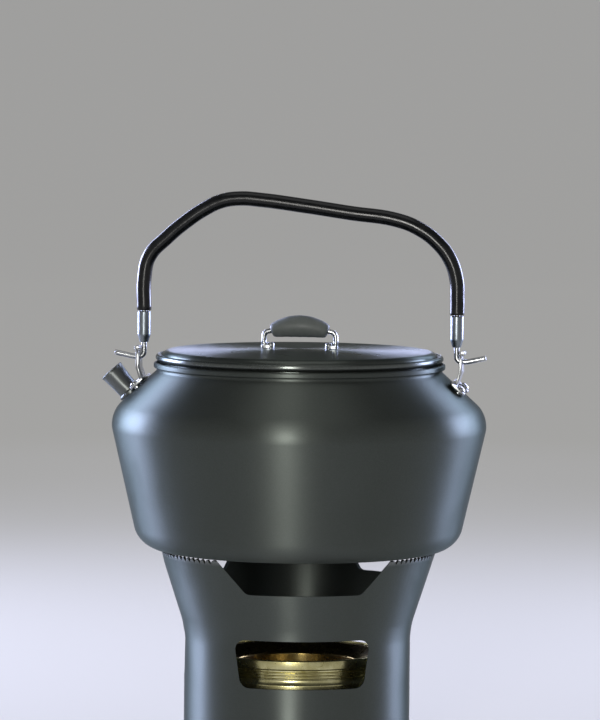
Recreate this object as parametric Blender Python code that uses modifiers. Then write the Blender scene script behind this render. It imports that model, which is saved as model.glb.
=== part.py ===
# Portable spirit stove with its kettle: aluminium windshield stand, brass burner, squat kettle.
# Metres, +Z up. The origin is the middle of the stand's flat foot. The spout points to -X,
# and the kettle's bail turns about the X direction.
import math

import bmesh
import bpy
from mathutils import Matrix, Vector

# Clearance between pieces that rest on each other
GAP = 0.0003

# The burner sets how wide the stand is
BURNER_RADIUS = 0.0370
BURNER_ROOM = 0.0093

# Stand: cylinder with a flared, toothed rim
STAND_HEIGHT = 0.088
STAND_RADIUS = BURNER_RADIUS + BURNER_ROOM
FLARE_REACH = 0.0102
STAND_RIM_RADIUS = STAND_RADIUS + FLARE_REACH
STAND_WALL = 0.0012
FLARE_HEIGHT = 0.032
FLARE_BEND = 0.030
STAND_TURN = math.radians(10)
STAND_SECTORS = 3
RIM_OPENING_TOP = 0.0700
RIM_OPENING_BOTTOM = 0.0460
RIM_OPENING_DEPTH = 0.0135
RIM_OPENING_FILLET = 0.0030
WINDOW_TOP = 0.0550
WINDOW_BOTTOM = 0.0496
WINDOW_HEIGHT = 0.0195
WINDOW_BELOW_RIM = 0.0325
WINDOW_FILLET = 0.0040
TOOTH_PITCH = 0.0030
TOOTH_DEPTH = 0.0010
TOOTH_LAND_MARGIN = 0.0016
VENT_COUNT = 12
VENT_RADIUS = 0.0020
VENT_HEIGHT = 0.0150

# Base pan, riveted into the foot of the stand
PAN_WALL = 0.0012
PAN_HEIGHT = 0.0090
PAN_CORNER = 0.0015
PAN_RIVET_HEIGHT = 0.0050
BURNER_RING_PLAY = 0.0012
BURNER_RING_HEIGHT = 0.0020
BURNER_RING_WIDTH = 0.0022
BURNER_RING_SLOPE = 0.0007

# Rivets: a domed outer head, a shank and a flat inner head
RIVET_SHANK_RADIUS = 0.0012
RIVET_HEAD_RADIUS = 0.0020
RIVET_HEAD_HEIGHT = 0.0010
RIVET_TAIL_HEIGHT = 0.0006

# Spirit burner: a cup, an insert with the jet crown, and the packing between them
BURNER_HEIGHT = 0.0450
BURNER_WALL = 0.0008
BURNER_CORNER = 0.0035
BEAD_HEIGHT = 0.0040
BEAD_ROUND = 0.0008
THREAD_BAND_HEIGHT = 0.0050
THREAD_BAND_DEPTH = 0.0011
JACKET_WIDTH = 0.0100
CROWN_INNER_RADIUS = BURNER_RADIUS - JACKET_WIDTH
CROWN_DROP = 0.0040
CROWN_LAND = 0.0015
INSERT_FOOT_GAP = 0.0040
JET_COUNT = 24
JET_RADIUS = 0.0006
WICK_HEIGHT = 0.0280

# Kettle body, heights counted from its base
KETTLE_WALL = 0.0012
KETTLE_FOOT_OVERHANG = 0.0087
KETTLE_FOOT_RADIUS = STAND_RIM_RADIUS + KETTLE_FOOT_OVERHANG
KETTLE_FOOT_FILLET = 0.0110
KETTLE_SHOULDER_HEIGHT = 0.0549
KETTLE_SHOULDER_FILLET = 0.0110
NECK_RADIUS = 0.0584
SHOULDER_RUN = 0.0194
SHOULDER_DROP = 0.0179
NECK_LENGTH = 0.0034
RIM_BEAD_WIDTH = 0.0012
RIM_BEAD_HEIGHT = 0.0024
KETTLE_SHOULDER_RADIUS = NECK_RADIUS + SHOULDER_RUN
NECK_HEIGHT = KETTLE_SHOULDER_HEIGHT + SHOULDER_DROP
RIM_HEIGHT = NECK_HEIGHT + NECK_LENGTH

# Spout, square to the shoulder
SPOUT_PLACE_RADIUS = NECK_RADIUS + SHOULDER_RUN * 0.572
SPOUT_LENGTH = 0.0126
SPOUT_ROOT_RADIUS = 0.0043
SPOUT_MOUTH_RADIUS = 0.0052
SPOUT_WALL = 0.0008
SPOUT_FLARE = 0.0002
SPOUT_EDGE = 0.0004
SPOUT_COLLAR_RADIUS = 0.0051
SPOUT_COLLAR_HEIGHT = 0.0012
SPOUT_INNER_LENGTH = 0.0028

# Lid: skirt inside the neck, ring bead on the rim, shallow dome with a steep shoulder
LID_OVERHANG = 0.0005
LID_RING_RADIUS = NECK_RADIUS + LID_OVERHANG
LID_RING_HEIGHT = 0.0031
LID_RING_WIDTH = 0.0026
LID_DOME_RISE = 0.0024
LID_DOME_SAG = 0.0009
LID_SHOULDER_WIDTH = 0.0030
LID_SHEET = 0.0010
LID_SKIRT_PLAY = 0.0005
LID_SKIRT_DEPTH = 0.0045
LID_VALLEY_DROP = 0.0011

# Lid handle: wire arch riveted at its feet, fat grip in the middle
HANDLE_WIRE_RADIUS = 0.00105
HANDLE_HALF_SPAN = 0.0148
HANDLE_GRIP_HEIGHT = 0.0089
HANDLE_GRIP_ARCH = 0.0021
HANDLE_GRIP_HALF_LENGTH = 0.0116
HANDLE_GRIP_RADIUS = 0.0045
HANDLE_GRIP_END_RADIUS = 0.0027
HANDLE_FOOT_THICKNESS = 0.0010
HANDLE_FOOT_WIDTH = 0.0044
HANDLE_RIVET_INSET = 0.0029
HANDLE_RIVET_HEAD = 0.0015

# Ears: a stamped strip with a joggled tab and a flange whose two wings are riveted to the shoulder
PIVOT_ABOVE_NECK = 0.0049
PIVOT_HEIGHT = NECK_HEIGHT + PIVOT_ABOVE_NECK
EAR_FOOT_REACH = 0.0056
EAR_LEAN = 0.0024
EAR_FOOT_RADIUS = NECK_RADIUS + EAR_FOOT_REACH
EAR_RADIUS = EAR_FOOT_RADIUS + EAR_LEAN
EAR_SHEET = 0.0012
EAR_TAB_WIDTH = 0.0100
EAR_TAB_FILLET = 0.0040
EAR_TOP = 0.0034
EAR_CURL_RADIUS = 0.00115
EAR_CURL_LENGTH = 0.0064
EAR_JOGGLE_DROP = 0.0043
EAR_FLANGE_LENGTH = 0.0220
EAR_FLANGE_INNER = 0.0022
EAR_FLANGE_OUTER = 0.0052
EAR_FLANGE_FILLET = 0.0020
EAR_NOTCH_HALF = 0.0058
EAR_RIVET_SPREAD = 0.0083
EAR_RIVET_REACH = 0.0027
EAR_HOLE_PLAY = 0.00045

# Bail: wire bent outward through the ears, ferrules, and a tube grip over the arch
BAIL_WIRE_RADIUS = 0.0011
BAIL_INSET = 0.0020
BAIL_HALF_SPAN = EAR_RADIUS - BAIL_INSET
BAIL_BEND = 0.0020
BAIL_RISE = 0.0653
BAIL_TIP_REACH = EAR_RADIUS + 5 * BAIL_INSET
BAIL_TIP_LIFT = 0.0016
BAIL_GRIP_RADIUS = 0.0030
FERRULE_RADIUS = 0.00265
FERRULE_FOOT_RADIUS = 0.00175
FERRULE_TAPER = 0.0030
FERRULE_START = 0.0059
FERRULE_LENGTH = 0.0128

FULL_TURN = 2 * math.pi

# How far an open-topped cutter goes past the edge that it cuts
CUT_OVER = 0.0040

# Facets round each turned piece
LARGE_FACETS = 48
MIDDLE_FACETS = 32
WICK_FACETS = 24
SMALL_FACETS = 16
HOLE_FACETS = 16
RIVET_FACETS = 10
VENT_FACETS = 8
JET_FACETS = 6

# Finishes: colour, roughness and metallic value
ALUMINIUM = ((0.055, 0.062, 0.056), 0.42, 0.85)
BRASS = ((0.55, 0.40, 0.14), 0.30, 1.0)
STEEL = ((0.60, 0.61, 0.62), 0.28, 1.0)
BLACK_RUBBER = ((0.012, 0.013, 0.014), 0.35, 0.0)
COTTON = ((0.70, 0.66, 0.56), 0.95, 0.0)

# Values that follow from the sizes above
KETTLE_BASE = STAND_HEIGHT + GAP
BURNER_BASE = PAN_WALL + GAP
SHOULDER_SLOPE = math.atan2(SHOULDER_DROP, SHOULDER_RUN)
SHOULDER_NORMAL = Vector((math.sin(SHOULDER_SLOPE), 0, math.cos(SHOULDER_SLOPE)))
SHOULDER_OUTWARD = Vector((math.cos(SHOULDER_SLOPE), 0, -math.sin(SHOULDER_SLOPE)))


def shoulder_point(radius, proud=0.0):
    """Point on the kettle's shoulder in the XZ plane, raised by proud along its normal."""
    drop = (radius - NECK_RADIUS) * math.tan(SHOULDER_SLOPE)
    return Vector((radius, 0, NECK_HEIGHT - drop)) + SHOULDER_NORMAL * proud


# Scene, collections and materials

def clear_scene():
    for thing in list(bpy.data.objects):
        bpy.data.objects.remove(thing, do_unlink=True)


def new_collection(name, hidden=False):
    collection = bpy.data.collections.new(name)
    bpy.context.scene.collection.children.link(collection)
    collection.hide_render = hidden
    return collection


def new_material(name, colour, roughness, metallic):
    material = bpy.data.materials.new(name)
    material.use_nodes = True
    shader = material.node_tree.nodes["Principled BSDF"]
    shader.inputs["Base Color"].default_value = (*colour, 1)
    shader.inputs["Roughness"].default_value = roughness
    shader.inputs["Metallic"].default_value = metallic
    material.diffuse_color = (*colour, 1)
    return material


def new_frame(name, height, parent=None):
    """Empty that carries a moving group, on its joint's axis."""
    frame = bpy.data.objects.new(name, None)
    frame.location = (0, 0, height)
    frame.parent = parent
    PARTS.objects.link(frame)
    return frame


def add_part(name, data, finish, frame):
    part = bpy.data.objects.new(name, data)
    PARTS.objects.link(part)
    part.parent = frame
    data.materials.append(new_material(name, *finish))
    return part


def add_cutter(name, mesh, frame=None):
    cutter = bpy.data.objects.new(name, mesh)
    CUTTERS.objects.link(cutter)
    cutter.parent = frame
    cutter.hide_render = True
    cutter.display_type = "WIRE"
    return cutter


def shade_round(part, angle=35):
    part.data.shade_smooth()
    part.data.set_sharp_from_angle(angle=math.radians(angle))


# Outlines

def rounded(corners, steps=4, closed=False):
    """Outline through the corners (x, z) or (x, z, fillet), with an arc at each fillet."""
    outline = []
    count = len(corners)
    for index, corner in enumerate(corners):
        place = Vector(corner[:2])
        fillet = corner[2] if len(corner) > 2 else 0
        inner = closed or 0 < index < count - 1
        if not fillet or not inner:
            outline.append(place)
            continue
        back = (Vector(corners[index - 1][:2]) - place).normalized()
        ahead = (Vector(corners[(index + 1) % count][:2]) - place).normalized()
        half = back.angle(ahead) / 2
        centre = place + (back + ahead).normalized() * (fillet / math.sin(half))
        start = place + back * (fillet / math.tan(half)) - centre
        end = place + ahead * (fillet / math.tan(half)) - centre
        sweep = math.atan2(start.x * end.y - start.y * end.x, start.dot(end))
        for step in range(steps + 1):
            outline.append(centre + Matrix.Rotation(sweep * step / steps, 2) @ start)
    return outline


def smooth_route(stations, steps):
    """Points of a smooth curve that passes through the stations."""
    ends = [2 * stations[0] - stations[1], *stations, 2 * stations[-1] - stations[-2]]
    route = []
    for before, start, end, after in zip(ends, ends[1:], ends[2:], ends[3:]):
        for step in range(steps):
            t = step / steps
            bend = 2 * start + (end - before) * t
            bend += (2 * before - 5 * start + 4 * end - after) * t ** 2
            bend += (3 * start - before - 3 * end + after) * t ** 3
            route.append(bend / 2)
    route.append(stations[-1].copy())
    return route


# Solids

def profile_mesh(name, outline, closed=False):
    mesh = bpy.data.meshes.new(name)
    edges = [(index, index + 1) for index in range(len(outline) - 1)]
    if closed:
        edges.append((len(outline) - 1, 0))
    mesh.from_pydata([(point.x, 0, point.y) for point in outline], edges, [])
    return mesh


def add_screw(part, segments):
    """Turns a profile once round Z."""
    screw = part.modifiers.new("turn", "SCREW")
    screw.axis = "Z"
    screw.angle = FULL_TURN
    screw.steps = segments
    screw.render_steps = segments
    screw.use_merge_vertices = True
    screw.merge_threshold = 0.00001
    screw.use_smooth_shade = True


def turned(name, outline, segments, finish, frame, closed=False):
    part = add_part(name, profile_mesh(name, outline, closed), finish, frame)
    add_screw(part, segments)
    return part


def add_wall(part, thickness):
    """Gives an open surface its wall, inward from the surface."""
    wall = part.modifiers.new("wall", "SOLIDIFY")
    wall.thickness = thickness
    wall.offset = -1
    wall.use_even_offset = True


def add_boolean(part, other, operation="DIFFERENCE"):
    boolean = part.modifiers.new(other.name, "BOOLEAN")
    boolean.operation = operation
    boolean.object = other
    boolean.solver = "EXACT"


def as_mesh(curve_data, name):
    """Mesh of a curve, with its caps welded."""
    holder = bpy.data.objects.new(name, curve_data)
    CUTTERS.objects.link(holder)
    graph = bpy.context.evaluated_depsgraph_get()
    mesh = bpy.data.meshes.new_from_object(holder.evaluated_get(graph))
    bpy.data.objects.remove(holder)
    bm = bmesh.new()
    bm.from_mesh(mesh)
    bmesh.ops.remove_doubles(bm, verts=bm.verts, dist=0.000001)
    bmesh.ops.recalc_face_normals(bm, faces=bm.faces)
    bm.to_mesh(mesh)
    bm.free()
    mesh.name = name
    return mesh


def tube_curve(name, route, radius, swell=None, capped=True, resolution=2):
    """Curve with a round section along the route; swell scales it at each point."""
    curve = bpy.data.curves.new(name, "CURVE")
    curve.dimensions = "3D"
    curve.bevel_depth = radius
    curve.bevel_resolution = resolution
    curve.use_fill_caps = capped
    curve.resolution_u = 1
    curve.render_resolution_u = 0
    spline = curve.splines.new("POLY")
    spline.points.add(len(route) - 1)
    for index, place in enumerate(route):
        spline.points[index].co = (*place, 1)
        spline.points[index].radius = swell[index] if swell else 1
    return curve


def plate_mesh(name, outline, thickness):
    """Flat plate: its outline lies in XY, and its thickness is centred on Z."""
    curve = bpy.data.curves.new(name, "CURVE")
    curve.dimensions = "2D"
    curve.fill_mode = "BOTH"
    curve.extrude = thickness / 2
    curve.resolution_u = 1
    curve.render_resolution_u = 0
    spline = curve.splines.new("POLY")
    spline.points.add(len(outline) - 1)
    for index, place in enumerate(outline):
        spline.points[index].co = (place.x, place.y, 0, 1)
    spline.use_cyclic_u = True
    return as_mesh(curve, name)


def rod_mesh(name, radius, start, end, sides=12):
    """Round rod between two points."""
    bm = bmesh.new()
    run = Vector(end) - Vector(start)
    middle = (Vector(start) + Vector(end)) / 2
    aim = run.to_track_quat("Z", "Y").to_matrix().to_4x4()
    bmesh.ops.create_cone(bm, cap_ends=True, segments=sides, radius1=radius, radius2=radius,
                          depth=run.length, matrix=Matrix.Translation(middle) @ aim)
    mesh = bpy.data.meshes.new(name)
    bm.to_mesh(mesh)
    bm.free()
    return mesh


def ring_of(name, mesh, turns):
    """Copies of a mesh, turned about Z."""
    bm = bmesh.new()
    for turn in turns:
        copy = mesh.copy()
        copy.transform(Matrix.Rotation(turn, 4, "Z"))
        bm.from_mesh(copy)
        bpy.data.meshes.remove(copy)
    ring = bpy.data.meshes.new(name)
    bm.to_mesh(ring)
    bm.free()
    return ring


def wall_cut(outline, near, far, name):
    """Cutter that goes through a wall that faces -Y; outline is (across, height)."""
    mesh = plate_mesh(name, outline, far - near)
    stand_up = Matrix.Rotation(math.radians(90), 4, "X")
    mesh.transform(Matrix.Translation((0, -(near + far) / 2, 0)) @ stand_up)
    return mesh


def even_turns(count, start=0.0):
    return [start + FULL_TURN * index / count for index in range(count)]


# Rivets

def rivet(name, place, direction, grip, frame, head_radius=RIVET_HEAD_RADIUS):
    """Rivet whose outer head sits at place; its shank runs grip inward, against direction."""
    outline = rounded([(0, RIVET_HEAD_HEIGHT),
                       (head_radius * 0.62, RIVET_HEAD_HEIGHT * 0.82),
                       (head_radius, 0),
                       (RIVET_SHANK_RADIUS, 0),
                       (RIVET_SHANK_RADIUS, -grip),
                       (head_radius * 0.9, -grip),
                       (head_radius * 0.9, -grip - RIVET_TAIL_HEIGHT),
                       (0, -grip - RIVET_TAIL_HEIGHT)])
    part = turned(name, outline, RIVET_FACETS, STEEL, frame)
    part.location = place
    part.rotation_mode = "QUATERNION"
    part.rotation_quaternion = Vector(direction).to_track_quat("Z", "Y")
    return part


# Stand

def windshield_shell():
    kink = STAND_HEIGHT - FLARE_HEIGHT
    lean = math.atan2(STAND_RIM_RADIUS - STAND_RADIUS, FLARE_HEIGHT)
    outer_rim = STAND_HEIGHT - STAND_WALL * math.sin(lean)
    outline = rounded([(STAND_RIM_RADIUS, outer_rim),
                       (STAND_RADIUS, kink, FLARE_BEND),
                       (STAND_RADIUS, 0)], steps=3)
    shell = turned("windshield_shell", outline, LARGE_FACETS, ALUMINIUM, STAND)
    add_wall(shell, STAND_WALL)
    turns = even_turns(STAND_SECTORS, STAND_TURN)
    inside = STAND_RADIUS * 0.5
    outside = STAND_RIM_RADIUS * 1.2
    over = STAND_HEIGHT + CUT_OVER

    floor = STAND_HEIGHT - RIM_OPENING_DEPTH
    spread = (RIM_OPENING_TOP - RIM_OPENING_BOTTOM) / 2 * (over - STAND_HEIGHT) / RIM_OPENING_DEPTH
    notch = rounded([(-RIM_OPENING_BOTTOM / 2, floor, RIM_OPENING_FILLET),
                     (RIM_OPENING_BOTTOM / 2, floor, RIM_OPENING_FILLET),
                     (RIM_OPENING_TOP / 2 + spread, over),
                     (-RIM_OPENING_TOP / 2 - spread, over)], closed=True)
    notches = ring_of("rim_openings", wall_cut(notch, inside, outside, "rim_opening"), turns)
    add_boolean(shell, add_cutter("rim_openings", notches, STAND))

    window_top = STAND_HEIGHT - WINDOW_BELOW_RIM
    window_floor = window_top - WINDOW_HEIGHT
    window = rounded([(-WINDOW_BOTTOM / 2, window_floor, WINDOW_FILLET),
                      (WINDOW_BOTTOM / 2, window_floor, WINDOW_FILLET),
                      (WINDOW_TOP / 2, window_top, WINDOW_FILLET),
                      (-WINDOW_TOP / 2, window_top, WINDOW_FILLET)], closed=True)
    windows = ring_of("windows", wall_cut(window, inside, outside, "window"), turns)
    add_boolean(shell, add_cutter("windows", windows, STAND))

    half_tooth = TOOTH_PITCH * 0.48
    lift = TOOTH_DEPTH * 0.2
    tooth = [Vector((-half_tooth, STAND_HEIGHT + lift)),
             Vector((0, STAND_HEIGHT - TOOTH_DEPTH)),
             Vector((half_tooth, STAND_HEIGHT + lift))]
    land_half = math.pi / STAND_SECTORS - math.asin(RIM_OPENING_TOP / 2 / STAND_RIM_RADIUS)
    pitch_turn = TOOTH_PITCH / STAND_RIM_RADIUS
    room = land_half - TOOTH_LAND_MARGIN / STAND_RIM_RADIUS
    per_side = int(room / pitch_turn)
    teeth_turns = [turn + math.pi / STAND_SECTORS + pitch_turn * step
                   for turn in turns for step in range(-per_side, per_side + 1)]
    near = STAND_RIM_RADIUS - 4 * STAND_WALL
    far = STAND_RIM_RADIUS + 2 * STAND_WALL
    teeth = ring_of("rim_teeth", wall_cut(tooth, near, far, "rim_tooth"), teeth_turns)
    add_boolean(shell, add_cutter("rim_teeth", teeth, STAND))

    vents = radial_holes("vents", VENT_RADIUS, VENT_HEIGHT, even_turns(VENT_COUNT, STAND_TURN))
    add_boolean(shell, add_cutter("vents", vents, STAND))
    add_boolean(shell, pan_rivet_holes())
    shade_round(shell)


def radial_holes(name, radius, height, turns):
    """Cutter for holes that go through the stand's cylinder."""
    hole = rod_mesh(name, radius, (0, -STAND_RADIUS + 5 * STAND_WALL, height),
                    (0, -STAND_RADIUS - 2 * STAND_WALL, height), VENT_FACETS)
    return ring_of(name, hole, turns)


def pan_rivet_turns():
    """The pan's rivets lie under the lands between the windows."""
    return even_turns(STAND_SECTORS, STAND_TURN + math.pi / STAND_SECTORS)


def pan_rivet_holes():
    if "pan_rivet_holes" not in bpy.data.objects:
        holes = radial_holes("pan_rivet_holes", RIVET_SHANK_RADIUS + GAP, PAN_RIVET_HEIGHT, pan_rivet_turns())
        add_cutter("pan_rivet_holes", holes, STAND)
    return bpy.data.objects["pan_rivet_holes"]


def base_pan():
    radius = STAND_RADIUS - STAND_WALL - GAP
    ring_inner = BURNER_RADIUS + BURNER_RING_PLAY + PAN_WALL
    ring_outer = ring_inner + BURNER_RING_WIDTH
    outline = rounded([(radius, PAN_HEIGHT),
                       (radius, 0, PAN_CORNER),
                       (ring_outer + BURNER_RING_SLOPE, 0),
                       (ring_outer, BURNER_RING_HEIGHT),
                       (ring_inner, BURNER_RING_HEIGHT),
                       (ring_inner - BURNER_RING_SLOPE, 0),
                       (0, 0)], steps=2)
    pan = turned("base_pan", outline, MIDDLE_FACETS, ALUMINIUM, STAND)
    add_wall(pan, PAN_WALL)
    add_boolean(pan, pan_rivet_holes())
    shade_round(pan)


def base_rivets():
    reach = STAND_RADIUS + GAP
    grip = GAP + STAND_WALL + GAP + PAN_WALL + GAP
    for index, turn in enumerate(pan_rivet_turns()):
        outward = Matrix.Rotation(turn, 3, "Z") @ Vector((0, -1, 0))
        place = outward * reach + Vector((0, 0, PAN_RIVET_HEIGHT))
        part = rivet(f"base_rivet_{index + 1}", place, outward, grip, STAND)
        shade_round(part)


# Burner

def burner_cup():
    rim = BURNER_RADIUS - BEAD_ROUND
    bead_floor = BURNER_HEIGHT - BEAD_HEIGHT
    band = BURNER_RADIUS - THREAD_BAND_DEPTH
    band_floor = bead_floor - THREAD_BAND_HEIGHT
    outline = rounded([(rim, BURNER_HEIGHT),
                       (BURNER_RADIUS, BURNER_HEIGHT - BEAD_ROUND),
                       (BURNER_RADIUS, bead_floor + BEAD_ROUND),
                       (band, bead_floor),
                       (band, band_floor),
                       (BURNER_RADIUS, band_floor - THREAD_BAND_DEPTH),
                       (BURNER_RADIUS, 0, BURNER_CORNER),
                       (0, 0)], steps=2)
    cup = turned("burner_cup", outline, MIDDLE_FACETS, BRASS, BURNER)
    add_wall(cup, BURNER_WALL)
    shade_round(cup)


def crown_rim_radius():
    return BURNER_RADIUS - BEAD_ROUND - BURNER_WALL - GAP


def burner_insert():
    top = BURNER_HEIGHT - BEAD_ROUND
    outer = crown_rim_radius()
    crown_top = outer - CROWN_LAND
    outline = [Vector((CROWN_INNER_RADIUS - BURNER_WALL, BURNER_WALL + INSERT_FOOT_GAP)),
               Vector((CROWN_INNER_RADIUS - BURNER_WALL, top - CROWN_DROP)),
               Vector((crown_top, top)),
               Vector((outer - BEAD_ROUND, top)),
               Vector((outer, top - BEAD_ROUND)),
               Vector((outer, top - BEAD_HEIGHT * 0.6))]
    insert = turned("burner_insert", outline, 2 * JET_COUNT, BRASS, BURNER)
    add_wall(insert, BURNER_WALL)
    slope = math.atan2(CROWN_DROP, crown_top - CROWN_INNER_RADIUS)
    middle = Vector(((crown_top + CROWN_INNER_RADIUS) / 2, 0, top - CROWN_DROP / 2))
    aim = Vector((-math.sin(slope), 0, math.cos(slope))) * 3 * BURNER_WALL
    jet = rod_mesh("jet", JET_RADIUS, middle - aim, middle + aim, JET_FACETS)
    jets = ring_of("jets", jet, even_turns(JET_COUNT, FULL_TURN / JET_COUNT / 4))
    add_boolean(insert, add_cutter("jets", jets, BURNER))
    shade_round(insert)


def wick_ring():
    inner = CROWN_INNER_RADIUS + GAP
    outer = BURNER_RADIUS - THREAD_BAND_DEPTH - BURNER_WALL - GAP
    foot = BURNER_WALL + GAP
    outline = [Vector((inner, foot + WICK_HEIGHT)), Vector((outer, foot + WICK_HEIGHT)),
               Vector((outer, foot + BURNER_CORNER)), Vector((outer - BURNER_CORNER / 2, foot)),
               Vector((inner, foot))]
    wick = turned("wick_ring", outline, WICK_FACETS, COTTON, BURNER, closed=True)
    shade_round(wick)


# Kettle

def kettle_body():
    bead = NECK_RADIUS + RIM_BEAD_WIDTH
    outline = rounded([(NECK_RADIUS + RIM_BEAD_WIDTH * 0.3, RIM_HEIGHT),
                       (bead, RIM_HEIGHT - RIM_BEAD_HEIGHT * 0.25),
                       (bead, RIM_HEIGHT - RIM_BEAD_HEIGHT * 0.75),
                       (NECK_RADIUS, RIM_HEIGHT - RIM_BEAD_HEIGHT),
                       (NECK_RADIUS, NECK_HEIGHT),
                       (KETTLE_SHOULDER_RADIUS, KETTLE_SHOULDER_HEIGHT, KETTLE_SHOULDER_FILLET),
                       (KETTLE_FOOT_RADIUS, 0, KETTLE_FOOT_FILLET),
                       (0, 0)], steps=3)
    body = turned("kettle_body", outline, LARGE_FACETS, ALUMINIUM, KETTLE)
    add_wall(body, KETTLE_WALL)
    root = shoulder_point(SPOUT_PLACE_RADIUS)
    reach = SHOULDER_NORMAL * 5 * KETTLE_WALL
    hole = rod_mesh("spout_hole", SPOUT_ROOT_RADIUS + GAP, root - reach, root + reach, SMALL_FACETS)
    hole.transform(Matrix.Rotation(math.pi, 4, "Z"))
    add_boolean(body, add_cutter("spout_hole", hole, KETTLE))
    add_boolean(body, ear_rivet_holes())
    shade_round(body)


def spout_tube():
    """Flared tube through the shoulder, with a collar outside it."""
    waist = SPOUT_ROOT_RADIUS + SPOUT_FLARE
    bore = SPOUT_ROOT_RADIUS - SPOUT_WALL
    outline = rounded([(SPOUT_MOUTH_RADIUS - SPOUT_EDGE, SPOUT_LENGTH),
                       (SPOUT_MOUTH_RADIUS, SPOUT_LENGTH - SPOUT_EDGE),
                       (waist, SPOUT_LENGTH * 0.45),
                       (SPOUT_ROOT_RADIUS, SPOUT_COLLAR_HEIGHT + GAP),
                       (SPOUT_COLLAR_RADIUS, SPOUT_COLLAR_HEIGHT * 0.7 + GAP),
                       (SPOUT_COLLAR_RADIUS, GAP),
                       (SPOUT_ROOT_RADIUS, GAP),
                       (SPOUT_ROOT_RADIUS, -SPOUT_INNER_LENGTH),
                       (bore, -SPOUT_INNER_LENGTH),
                       (bore + SPOUT_FLARE, SPOUT_LENGTH * 0.45),
                       (SPOUT_MOUTH_RADIUS - SPOUT_WALL, SPOUT_LENGTH - SPOUT_EDGE)], closed=True)
    spout = turned("spout_tube", outline, SMALL_FACETS, ALUMINIUM, KETTLE, closed=True)
    half_turn = Matrix.Rotation(math.pi, 4, "Z")
    spout.location = half_turn @ shoulder_point(SPOUT_PLACE_RADIUS)
    spout.rotation_euler = (0, -SHOULDER_SLOPE, 0)
    shade_round(spout)


# Ears of the bail

def ear_rivet_places():
    """Feet of the ear rivets on the shoulder, for the ear at +X."""
    centre = shoulder_point(EAR_FOOT_RADIUS) + SHOULDER_OUTWARD * EAR_RIVET_REACH
    return [centre + Vector((0, side * EAR_RIVET_SPREAD, 0)) for side in (-1, 1)]


def ear_rivet_holes():
    if "ear_rivet_holes" not in bpy.data.objects:
        bm = bmesh.new()
        for place in ear_rivet_places():
            reach = SHOULDER_NORMAL * 4 * KETTLE_WALL
            bm.from_mesh(rod_mesh("ear_rivet_hole", RIVET_SHANK_RADIUS + GAP,
                                  place - reach, place + reach, RIVET_FACETS))
        holes = bpy.data.meshes.new("ear_rivet_holes")
        bm.to_mesh(holes)
        bm.free()
        add_cutter("ear_rivet_holes", ring_of("ear_rivet_holes", holes, even_turns(2)), KETTLE)
    return bpy.data.objects["ear_rivet_holes"]


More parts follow.
